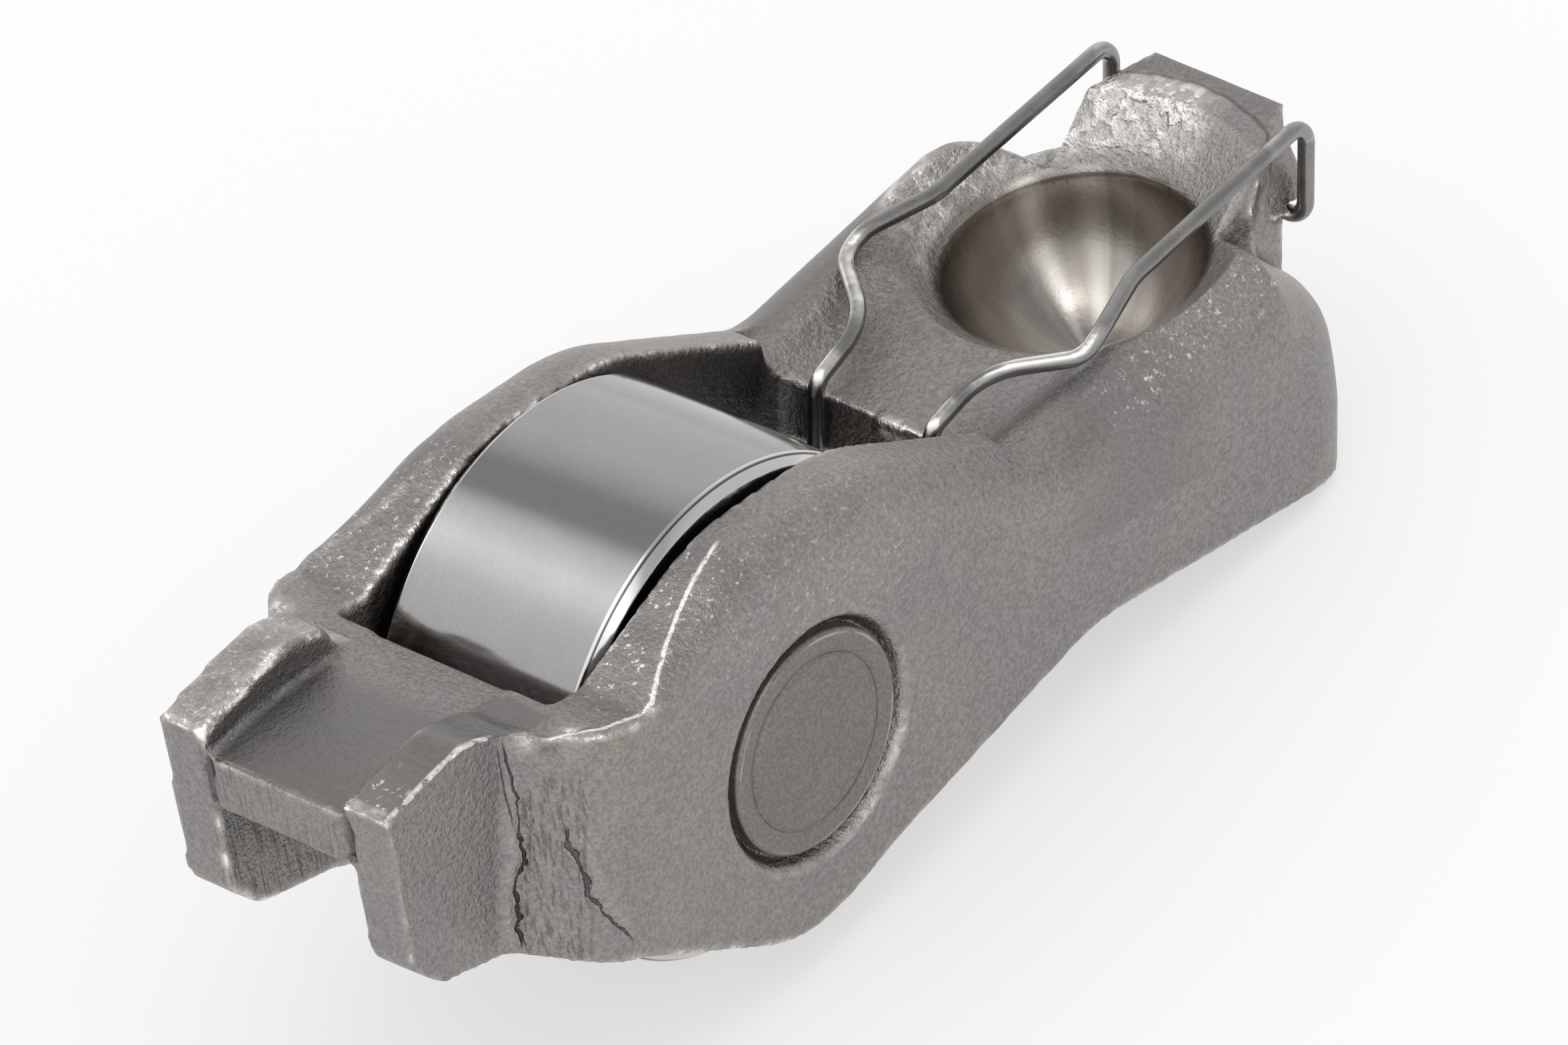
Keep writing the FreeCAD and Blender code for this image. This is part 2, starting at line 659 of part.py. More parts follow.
pieces = [arm, pin, roller, clip]
pitch = value("dim.pin_radius + dim.needle_radius + dim.needle_play")
count = int(value("dim.needle_count"))
for number in range(count):
    needle = make_needle(f"needle_{number + 1:02d}")
    along_axle = FreeCAD.Rotation(FreeCAD.Vector(1, 0, 0), -90)
    seat = FreeCAD.Vector(pitch, -value("dim.needle_length") / 2, 0)
    turn = FreeCAD.Rotation(FreeCAD.Vector(0, 1, 0), 360 * number / count)
    round_pin = FreeCAD.Placement(FreeCAD.Vector(0, 0, 0), turn)
    needle.Placement = rest.multiply(round_pin).multiply(FreeCAD.Placement(seat, along_axle))
    pieces.append(needle)
doc.recompute()

for thing in doc.Objects:
    if "Invalid" in thing.State or "Error" in thing.State:
        raise ValueError(f"{thing.Label} is in state {thing.State}")
for piece in pieces:
    if piece.Shape.isNull() or not piece.Shape.isValid() or len(piece.Shape.Solids) != 1:
        raise ValueError(f"{piece.Label} isn't one valid solid")

os.makedirs("parts", exist_ok=True)
for piece in pieces:
    piece.Shape.exportStep(f"parts/{piece.Label}.step")
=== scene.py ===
"""A roller rocker arm of pressed steel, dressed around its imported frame.

The arm's own axes are used for all shaping: the origin on the roller's axle, +X to the pivot socket,
+Y along the axle, +Z up through the socket's mouth. They lie tilted in the frame, as the arm rests.
"""
import functools
import itertools
import json
import math

import bmesh
import bpy
import numpy as np
from mathutils import Matrix, Vector


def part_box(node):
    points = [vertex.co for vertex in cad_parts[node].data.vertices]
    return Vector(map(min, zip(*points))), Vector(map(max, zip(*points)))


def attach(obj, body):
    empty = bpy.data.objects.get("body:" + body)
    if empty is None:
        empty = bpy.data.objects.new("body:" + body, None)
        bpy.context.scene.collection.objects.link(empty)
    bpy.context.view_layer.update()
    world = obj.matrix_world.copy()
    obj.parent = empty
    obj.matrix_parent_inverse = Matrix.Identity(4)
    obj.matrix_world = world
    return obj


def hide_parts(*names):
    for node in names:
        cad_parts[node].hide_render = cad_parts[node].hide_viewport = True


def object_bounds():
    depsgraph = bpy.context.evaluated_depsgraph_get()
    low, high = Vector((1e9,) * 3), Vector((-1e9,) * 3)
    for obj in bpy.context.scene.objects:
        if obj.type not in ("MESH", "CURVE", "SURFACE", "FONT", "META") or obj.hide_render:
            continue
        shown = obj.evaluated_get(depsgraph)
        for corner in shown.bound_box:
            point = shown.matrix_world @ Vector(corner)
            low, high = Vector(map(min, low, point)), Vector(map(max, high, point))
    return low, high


bl_info = {
    "name": "Roller rocker arm",
    "version": (1, 0, 0),
    "blender": (4, 5, 0),
    "location": "View3D > Sidebar > Rocker arm",
    "description": "Dresses the packed rocker arm: pressed body, pin, roller, needles, wire clip and stage",
    "category": "Object",
}

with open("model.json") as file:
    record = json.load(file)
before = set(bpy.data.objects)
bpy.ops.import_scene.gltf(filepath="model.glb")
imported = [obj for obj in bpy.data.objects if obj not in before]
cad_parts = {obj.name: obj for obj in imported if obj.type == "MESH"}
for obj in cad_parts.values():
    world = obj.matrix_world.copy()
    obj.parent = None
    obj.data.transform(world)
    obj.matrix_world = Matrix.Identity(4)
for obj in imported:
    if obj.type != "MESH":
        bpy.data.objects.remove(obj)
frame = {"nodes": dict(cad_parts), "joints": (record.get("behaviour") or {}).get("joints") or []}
CAD_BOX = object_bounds()

MM = 0.001
ARM_TILT = math.radians(14.6079)
AXLE = Vector(frame["joints"][0]["pos_m"])

# Sizes that the shaping refers to, in millimetres in the arm's own axes.
HALF_WIDTH = 7.95
WALL_ROUND = 2.3
OUTSIDE_FROM = 4.7
SOCKET = (23.1, 0.0, 6.1)
PIN_RADIUS = 4.2
PIN_RING = 3.3
PIN_EDGE = 4.02
ROLLER_BORE = 6.24
BEVEL_LINE = 4.19
FLANGE_INSIDE = 3.1
FLANGE_OUTSIDE = 4.9
WALL_INSIDE = 5.0

# The top of the walls: a slope up from the valve end, with its outward way, and an arc over the roller.
SLOPE_FOOT = (-9.0, 5.0)
SLOPE_RISE = 0.583
SLOPE_WAY = (-0.504, 0.8637)
SLOPE_END = -4.62
HUMP = (-0.59, 0.645)
HUMP_RADIUS = 8.0

# The top of the socket's end, which rises towards the stern, with the cosine and sine of its slope.
RIM_FOOT = (13.2, 5.5)
RIM_RISE = 0.2586
RIM_TURN = (0.968, 0.25)

# Laps beside the flanges, seen from the side: (z, x) from the low end up.
LAP = [(-3.4, -12.62), (-2.6, -12.78), (-1.3, -12.9), (0.1, -12.67), (1.4, -12.76), (2.6, -12.87),
       (3.7, -13.05), (4.9, -13.25)]
SECOND_LAP = [(-3.6, -9.6), (-2.7, -10.3), (-1.3, -11.15), (0.2, -11.5), (1.5, -11.72)]
UPPER_LAP = [(1.5, -13.02), (3.5, -13.3), (4.9, -13.5)]
# The cracks in them: line, width, how far it wanders, darkness.
CRACKS = [(LAP[:5], 0.085, 0.7, 1.0), (LAP[3:], 0.045, 0.3, 0.8), (UPPER_LAP, 0.035, 0.15, 0.6),
          (SECOND_LAP, 0.07, 0.7, 0.75)]
# Where the sheared top of the walls meets their rolled side, seen from above: (x, distance from the middle).
CREASE = [(-12.4, 5.9), (-11.6, 6.6), (-10.6, 7.25), (-9.2, 7.6), (-8.5, 7.72), (-7.35, 7.1), (-6.45, 6.7),
          (-5.3, 6.3), (-3.7, 5.95), (-2.6, 5.7)]
CREASE_HEIGHTS = [5.0, 5.0, 5.0, 5.0, 5.3, 5.96, 6.5, 7.15, 8.05, 8.4]
# The outer top edge of the lower flange, seen from the side: (x, z).
FLANGE_EDGE = [(-19.2, 4.36), (-18.0, 4.74), (-17.0, 5.08), (-16.0, 5.38), (-15.4, 5.53), (-14.5, 5.46),
               (-13.6, 5.24)]

# Values painted on the body's points, which its steel reads. Some are painted light and shade: highlights,
# sparkles, a bowl reflection and shade in recesses and over broad areas.
MARKS = ("worn", "coined", "spotted", "grimy", "sheared", "polished", "dull", "scraped")

# Level of the studio that metal sees, by degrees from straight up towards the socket's end.
STUDIO = [(-180, 0.95), (-75, 1.1), (-56, 1.27), (-47, 1.41), (-39, 1.78), (-31, 2.0), (-23, 1.67),
          (-15, 1.31), (-7, 0.56), (9, 0.56), (17, 0.82), (25, 1.0), (33, 1.1), (89, 1.12), (180, 0.95)]
STUDIO_PEAK = 2.0
WHITE = (1.0, 1.0, 1.0, 1.0)
FLOOR_GREY = (0.92, 0.92, 0.92, 1.0)

# Colours that no setting holds.
GLINT = (0.96, 0.93, 0.89)
# The two colours of the bowl's painted reflection.
BOWL_REFLECTION_DARK = (0.31, 0.282, 0.256)
BOWL_REFLECTION_BRIGHT = (0.58, 0.556, 0.522)
NEEDLE_STEEL = (0.6, 0.6, 0.61)
NEEDLE_LINES = (0.52, 0.52, 0.53)
# The wire's lighter colour: wear from rubbing and painted highlight.
RUBBED_AND_LIT_WIRE = (0.72, 0.7, 0.67)

# The camera's right and backward ways, and its place to the right of, above and behind the axle, in metres.
CAMERA_RIGHT = Vector((0.6271, -0.7617, -0.1634))
CAMERA_BACK = Vector((-0.5124, -0.5612, 0.6500))
CAMERA_PLACE = (0.00487, 0.00499, 1.0)
SENSOR = 36.0


# The arm's own axes

def turned(points, angle):
    """Rows of X, Y and Z turned about Y."""
    cosine, sine = math.cos(angle), math.sin(angle)
    return np.stack([points[:, 0] * cosine - points[:, 2] * sine, points[:, 1],
                     points[:, 0] * sine + points[:, 2] * cosine], axis=1)


def to_arm(points):
    """Frame points in metres as points in the arm's own axes, in millimetres."""
    return turned((points - np.array(AXLE)) / MM, ARM_TILT)


def from_arm(points):
    """Points in the arm's own axes, in millimetres, as frame points in metres."""
    return turned(points, -ARM_TILT) * MM + np.array(AXLE)


def arm_direction(x, y, z):
    """A direction given in the arm's own axes, as a frame direction."""
    point = Vector(from_arm(np.array([[x, y, z]], float))[0])
    return (point - AXLE).normalized()


ARM_AXES = (arm_direction(1, 0, 0), arm_direction(0, 1, 0), arm_direction(0, 0, 1))


def rim_height(x):
    """Height of the top of the socket's end."""
    return RIM_FOOT[1] + RIM_RISE * (x - RIM_FOOT[0])


# Shader building

class Maths:
    """A number socket that takes part in Python expressions, each of which adds its Math node."""

    def __init__(self, shader, socket):
        self.shader, self.socket = shader, socket

    def _join(self, operation, *values, clamp=False):
        settings = {"operation": operation, "use_clamp": clamp}
        return self.shader.node("ShaderNodeMath", settings, dict(enumerate(values)))["Value"]

    def __add__(self, other):
        return self._join("ADD", self, other)

    def __radd__(self, other):
        return self._join("ADD", other, self)

    def __sub__(self, other):
        return self._join("SUBTRACT", self, other)

    def __rsub__(self, other):
        return self._join("SUBTRACT", other, self)

    def __mul__(self, other):
        return self._join("MULTIPLY", self, other)

    def __rmul__(self, other):
        return self._join("MULTIPLY", other, self)

    def __truediv__(self, other):
        return self._join("DIVIDE", self, other)

    def __rtruediv__(self, other):
        return self._join("DIVIDE", other, self)

    def __pow__(self, other):
        return self._join("POWER", self, other)

    def __rpow__(self, other):
        return self._join("POWER", other, self)

    def __abs__(self):
        return self._join("ABSOLUTE", self)

    def angle(self, other):
        """The angle of the pair (other, self) in radians."""
        return self._join("ARCTAN2", self, other)

    def most(self, other):
        """The greater of the two."""
        return self._join("MAXIMUM", self, other)

    def clamped(self):
        """The value held between 0 and 1."""
        return self._join("ADD", self, 0.0, clamp=True)

    def ramp(self, low, high):
        """0 below low, 1 above high and smooth in between."""
        settings = {"interpolation_type": "SMOOTHSTEP"}
        inputs = {"Value": self, "From Min": low, "From Max": high, "To Min": 0.0, "To Max": 1.0}
        return self.shader.node("ShaderNodeMapRange", settings, inputs)["Result"]


class Shader:
    """Builds one node tree. node() takes a type, its settings and the values or links of its sockets."""

    def __init__(self, tree):
        self.tree = tree
        tree.nodes.clear()

    def node(self, kind, settings=None, inputs=None):
        made = self.tree.nodes.new(kind)
        for name, value in (settings or {}).items():
            if name == "stops":
                self._set_stops(made.color_ramp, value)
            else:
                setattr(made, name, value)
        for name, value in (inputs or {}).items():
            socket = made.inputs[name]
            if isinstance(value, Maths):
                value = value.socket
            if isinstance(value, bpy.types.NodeSocket):
                self.tree.links.new(value, socket)
            else:
                socket.default_value = value
        return Outputs(self, made)

    @staticmethod
    def _set_stops(ramp, stops):
        while len(ramp.elements) < len(stops):
            ramp.elements.new(0.5)
        for element, (place, level) in zip(ramp.elements, stops):
            element.position = place
            element.color = (level, level, level, 1.0)

    def noise(self, where, scale, detail=3.0, roughness=0.55):
        """A noise value around 0.5 at a vector socket; scale is the number of lumps in a metre."""
        inputs = {"Vector": where, "Scale": scale, "Detail": detail, "Roughness": roughness}
        return self.node("ShaderNodeTexNoise", {"noise_dimensions": "3D"}, inputs)["Fac"]

    def vector_maths(self, operation, first, second):
        return self.node("ShaderNodeVectorMath", {"operation": operation}, {0: first, 1: second})

    def stretched(self, where, scale):
        """A vector socket multiplied by a constant vector."""
        return self.vector_maths("MULTIPLY", where, scale).socket("Vector")

    def along_arm(self, vector):
        """A frame vector's parts along the arm's own X, Y and Z, as three numbers."""
        return [self.vector_maths("DOT_PRODUCT", vector, axis)["Value"] for axis in ARM_AXES]

    def attribute(self, name):
        """A number painted on the mesh's points."""
        return self.node("ShaderNodeAttribute", {"attribute_name": name})["Fac"]

    def mix_colour(self, factor, first, second, kind="MIX"):
        """A blend of two colours, each a tuple or a socket."""
        settings = {"data_type": "RGBA", "blend_type": kind, "clamp_factor": True}
        first, second = ((*value, 1.0) if isinstance(value, tuple) else value for value in (first, second))
        return self.node("ShaderNodeMix", settings, {0: factor, 6: first, 7: second}).socket(2)

    def layered(self, tone, *layers):
        """A colour with others laid over it, each given as (factor, colour)."""
        for factor, colour in layers:
            tone = self.mix_colour(factor, tone, colour)
        return tone

    def mix_shaders(self, factor, first, second):
        return self.node("ShaderNodeMixShader", {}, {0: factor, 1: first, 2: second}).socket("Shader")

    def thin_line(self, along, across, line, width):
        """1 on a thin line; line is (along, across) in millimetres, from its low end up."""
        low, high = line[0][0], line[-1][0]
        least = min(value for end, value in line) - 0.1
        spread = max(value for end, value in line) + 0.1 - least
        stops = [((end - low) / (high - low), (value - least) / spread) for end, value in line]
        share = (along - low) / (high - low)
        middle = self.node("ShaderNodeValToRGB", {"stops": stops}, {"Fac": share})["Color"]
        off = abs(across - middle * spread - least)
        ends = ((along - low) * 2.5).clamped() * ((high - along) * 2.5).clamped()
        return (1.0 - off.ramp(width * 0.3, width)) * ends


class Outputs:
    """A node's outputs: numbers by name as expressions, anything else as plain sockets."""

    def __init__(self, shader, made):
        self.shader, self.made = shader, made

    def __getitem__(self, name):
        return Maths(self.shader, self.made.outputs[name])

    def socket(self, name):
        return self.made.outputs[name]


def new_material(name):
    material = bpy.data.materials.new(name)
    material.use_nodes = True
    return material, Shader(material.node_tree)


def new_metal(name):
    """A new material, the builder of its nodes and the place on the object."""
    material, shader = new_material(name)
    return material, shader, shader.node("ShaderNodeTexCoord").socket("Object")


def finish_metal(shader, tone, roughness, height=None, strength=0.25, distance=0.00001):
    """Ends a bare metal's nodes. The height makes its bump, whose distance is in metres."""
    inputs = {"Base Color": tone, "Metallic": 1.0, "Roughness": roughness}
    if height is not None:
        bump = {"Strength": strength, "Distance": distance, "Height": height}
        inputs["Normal"] = shader.node("ShaderNodeBump", {}, bump).socket("Normal")
    surface = shader.node("ShaderNodeBsdfPrincipled", {}, inputs)
    shader.node("ShaderNodeOutputMaterial", {}, {"Surface": surface.socket("BSDF")})


def scaled(colour, factor):
    """A colour made lighter or darker."""
    return tuple(min(1.0, part * factor) for part in colour[:3])


def arm_place(shader, place):
    """The arm's own X, Y and Z in millimetres, as three numbers."""
    moved = shader.vector_maths("SUBTRACT", place, AXLE).socket("Vector")
    return tuple(part / MM for part in shader.along_arm(moved))


# Mesh helpers

def lattice_noise(points, size, seed):
    """Smooth noise between -1 and 1 at points in millimetres, with lumps of the given size."""
    cells = points / size
    corner = np.floor(cells).astype(np.int64)
    share = cells - corner
    share = share * share * (3 - 2 * share)
    total = np.zeros(len(points))
    for step in itertools.product((0, 1), repeat=3):
        first, second, third = (corner + np.array(step)).T
        key = (first * 73856093 ^ second * 19349663 ^ third * 83492791 ^ seed * 2654435761) & 0xFFFFFFFF
        key = ((key ^ (key >> 13)) * 1274126177) & 0xFFFFFFFF
        value = (key ^ (key >> 16)) / 2147483648.0 - 1.0
        weight = np.where(step, share, 1 - share)
        total += value * (weight[:, 0] * weight[:, 1] * weight[:, 2])
    return total


def smooth_step(value, low, high):
    share = np.clip((value - low) / (high - low), 0, 1)
    return share * share * (3 - 2 * share)


def band(value, low, high, soft):
    """1 between low and high, falling to 0 over the soft distance outside."""
    return smooth_step(value, low - soft, low) * (1 - smooth_step(value, high, high + soft))


def rows(items, name, width, kind=np.float32):
    """A property of all of a mesh's points or edges, one row each."""
    values = np.empty(len(items) * width, kind)
    items.foreach_get(name, values)
    return values.reshape(-1, width)


class Sculpt:
    """A dense mesh in the arm's own axes, with moves along its normals and painted values."""

    def __init__(self, mesh):
        self.mesh = mesh
        self.points = to_arm(rows(mesh.vertices, "co", 3).astype(float))
        self.edges = rows(mesh.edges, "vertices", 2, np.int32)
        self.neighbours = np.bincount(self.edges.ravel(), minlength=len(self.points)).astype(float)
        self.painted = {}
        self.update_normals()

    def update_normals(self):
        """Vertex normals from the faces, in the arm's own axes."""
        self.store()
        self.normals = turned(rows(self.mesh.vertices, "normal", 3).astype(float), ARM_TILT)

    def store(self):
        self.mesh.vertices.foreach_set("co", from_arm(self.points).astype(np.float32).ravel())
        self.mesh.update()

    def averaged(self, values):
        """Each vertex's mean over its neighbours, for a column or a block of columns."""
        block = values.reshape(len(self.points), -1)
        out = np.empty_like(block)
        first, second = self.edges[:, 0], self.edges[:, 1]
        for column in range(block.shape[1]):
            sums = np.bincount(first, block[second, column], len(self.points))
            sums += np.bincount(second, block[first, column], len(self.points))
            out[:, column] = sums / np.maximum(self.neighbours, 1)
        return out.reshape(values.shape)

    def relax(self, rounds, mask=None):
        """Takes the steps out of the surface: each round smooths it, then swells it back."""
        for factor in (0.5, -0.53) * rounds:
            move = (self.averaged(self.points) - self.points) * factor
            self.points += move if mask is None else move * mask[:, None]

    def push(self, amount):
        self.points += self.normals * amount[:, None]

    def paint(self, name, amount):
        """Raises a painted value to an amount, held between 0 and 1."""
        held = self.painted.setdefault(name, np.zeros(len(self.points)))
        self.painted[name] = np.clip(np.maximum(held, amount), 0, 1)

    def near_line(self, line, reach, side=0):
        """Distance to a polyline and the share of its length, for the points within reach.

        With a side of -1 or 1 the line is (X, Z) and lies on the outside of that wall, else it is (X, Y, Z).
        """
        columns = [0, 2] if side else [0, 1, 2]
        line = np.array(line, float)
        flat = self.points[:, columns]
        close = np.all((flat > line.min(0) - reach) & (flat < line.max(0) + reach), axis=1)
        if side:
            close &= (self.points[:, 1] * side > OUTSIDE_FROM) & (self.normals[:, 1] * side > 0.15)
        chosen = np.flatnonzero(close)
        points = flat[chosen]
        best = np.full(len(chosen), 1e9)
        share = np.zeros(len(chosen))
        lengths = np.linalg.norm(np.diff(line, axis=0), axis=1)
        ends = np.concatenate([[0], np.cumsum(lengths)])
        for index, length in enumerate(lengths):
            start, run = line[index], line[index + 1] - line[index]
            t = np.clip((points - start) @ run / max(length * length, 1e-9), 0, 1)
            gap = np.linalg.norm(points - start - t[:, None] * run, axis=1)
            closer = gap < best
            best[closer] = gap[closer]
            share[closer] = (ends[index] + t[closer] * length) / ends[-1]
        return chosen, best, share

    def stroke(self, line, width, height, paint=None, side=0, ragged=0.0, seed=1, taper=0.12):
        """A ridge (height above 0) or groove (below 0) along a polyline, thinning out at its ends."""
        chosen, gap, share = self.near_line(line, width * 3, side)
        if not len(chosen):
            return
        gap = np.abs(gap + ragged * lattice_noise(self.points[chosen], 0.45, seed))
        ends = smooth_step(share, 0, taper) * (1 - smooth_step(share, 1 - taper, 1))
        profile = np.exp(-(gap / width) ** 2) * ends
        self.points[chosen] += self.normals[chosen] * (height * profile)[:, None]
        for name, strength in (paint or {}).items():
            full = np.zeros(len(self.points))
            full[chosen] = strength * profile
            self.paint(name, full)

    def lump(self, centre, radius, height, paint=None, seed=1):
        """A rough little burr (height above 0) or dent (below 0) about a point."""
        gap = np.linalg.norm(self.points - np.array(centre), axis=1)
        profile = np.exp(-(gap / radius) ** 2)
        rough = 0.6 + 0.8 * lattice_noise(self.points, radius * 0.7, seed)
        self.push(profile * rough * height)
        for name, strength in (paint or {}).items():
            self.paint(name, strength * profile)

    def finish(self):
        self.store()
        for name, values in self.painted.items():
            attribute = self.mesh.attributes.new(name, "FLOAT", "POINT")
            attribute.data.foreach_set("value", values.astype(np.float32))


def link(obj):
    bpy.context.scene.collection.objects.link(obj)
    return obj


def applied(obj):
    """Gives the object a mesh with its modifiers applied, in place of the old one."""
    bpy.context.view_layer.update()
    graph = bpy.context.evaluated_depsgraph_get()
    made = bpy.data.meshes.new_from_object(obj.evaluated_get(graph))
    obj.modifiers.clear()
    old, obj.data = obj.data, made
    bpy.data.meshes.remove(old)


def remeshed(node, name, voxel):
    """A new piece with the shape of a CAD node, as an even grid of small faces."""
    piece = link(bpy.data.objects.new(name, frame["nodes"][node].data.copy()))
    piece.data.materials.clear()
    modifier = piece.modifiers.new("grid", "REMESH")
    modifier.mode = "VOXEL"
    modifier.voxel_size = voxel
    modifier.use_smooth_shade = True
    applied(piece)
    return piece


def shade_smooth(mesh):
    for face in mesh.polygons:
        face.use_smooth = True


def thinned(piece, most_triangles):
    """Fewer faces where the surface is plain, up to a number of triangles, all inside the CAD's box."""
    triangles = sum(len(face.vertices) - 2 for face in piece.data.polygons)
    if triangles > most_triangles:
        modifier = piece.modifiers.new("thin", "DECIMATE")
        modifier.ratio = most_triangles / triangles
        applied(piece)
    points = np.clip(rows(piece.data.vertices, "co", 3), CAD_BOX[0], CAD_BOX[1])
    piece.data.vertices.foreach_set("co", points.astype(np.float32).ravel())
    shade_smooth(piece.data)


def lathe(name, profile, turns):
    """A ring turned about the axle; the profile is a closed loop of (radius, y) in millimetres."""
    mesh = bpy.data.meshes.new(name)
    build = bmesh.new()
    rings = []
    for step in range(turns):
        angle = math.tau * step / turns
        rings.append([build.verts.new(AXLE + MM * Vector((r * math.cos(angle), y, r * math.sin(angle))))
                      for r, y in profile])
    for step in range(turns):
        here, there = rings[step], rings[(step + 1) % turns]
        for index in range(len(profile)):
            after = (index + 1) % len(profile)
            build.faces.new((here[index], here[after], there[after], there[index]))
    bmesh.ops.recalc_face_normals(build, faces=build.faces)
    build.to_mesh(mesh)
    build.free()
    shade_smooth(mesh)
    return link(bpy.data.objects.new(name, mesh))


def rounded_corner(centre, radius, start, end, steps):
    """Points of an arc in the (radius, y) half-plane, angles in degrees."""
    return [(centre[0] + radius * math.cos(math.radians(a)), centre[1] + radius * math.sin(math.radians(a)))
            for a in np.linspace(start, end, steps)]


# Settings

class ArmSettings(bpy.types.PropertyGroup):
    """The pressed body."""
    steel: bpy.props.FloatVectorProperty(
        name="Steel colour", description="Colour of the satin pressed steel", subtype="COLOR", size=3,
        min=0, max=1, default=(0.305, 0.277, 0.257))
    # This colour lights up edges with wear and struck faces: their finish, and also painted highlight.
    worn: bpy.props.FloatVectorProperty(
        name="Worn edge colour", description="Colour of rubbed and coined steel", subtype="COLOR", size=3,
        min=0, max=1, default=(0.62, 0.59, 0.56))
    voxel: bpy.props.FloatProperty(
        name="Grain of the mesh", description="Edge length of the body's small faces", unit="LENGTH",
        default=0.00017, min=0.0001, max=0.001)
    triangles: bpy.props.IntProperty(
        name="Most triangles", description="Limit on the body's triangles", default=190000, min=10000)


class RollerSettings(bpy.types.PropertyGroup):
    """The roller, its pin and its needles."""
    ground: bpy.props.FloatVectorProperty(
        name="Ground steel colour", description="Colour of the roller", subtype="COLOR", size=3,
        min=0, max=1, default=(0.333, 0.329, 0.328))
    pin: bpy.props.FloatVectorProperty(
        name="Pin colour", description="Colour of the pin's matt end faces", subtype="COLOR", size=3,
        min=0, max=1, default=(0.215, 0.202, 0.19))
    turns: bpy.props.IntProperty(
        name="Steps around", description="Faces around the roller and the pin", default=256, min=32)
    edge: bpy.props.FloatProperty(
        name="Edge bevel", description="Bevel of the roller's outer edges", unit="LENGTH",
        default=0.00045, min=0.00005, max=0.001)


class WireSettings(bpy.types.PropertyGroup):
    """The wire clip."""
    colour: bpy.props.FloatVectorProperty(
        name="Wire colour", description="Colour of the drawn spring wire", subtype="COLOR", size=3,
        min=0, max=1, default=(0.235, 0.232, 0.228))
    voxel: bpy.props.FloatProperty(
        name="Grain of the mesh", description="Edge length of the wire's small faces", unit="LENGTH",
        default=0.000075, min=0.00003, max=0.0005)
    triangles: bpy.props.IntProperty(
        name="Most triangles", description="Limit on the wire's triangles", default=60000, min=10000)


class StageSettings(bpy.types.PropertyGroup):
    """Floor, light and camera."""
    focal: bpy.props.FloatProperty(
        name="Focal length", description="Focal length of the camera in millimetres", default=667.04, min=50)
    shadow: bpy.props.FloatProperty(
        name="Shadow depth", description="How much of the object's shadow the floor shows", subtype="FACTOR",
        default=0.45, min=0, max=1)


# Pieces

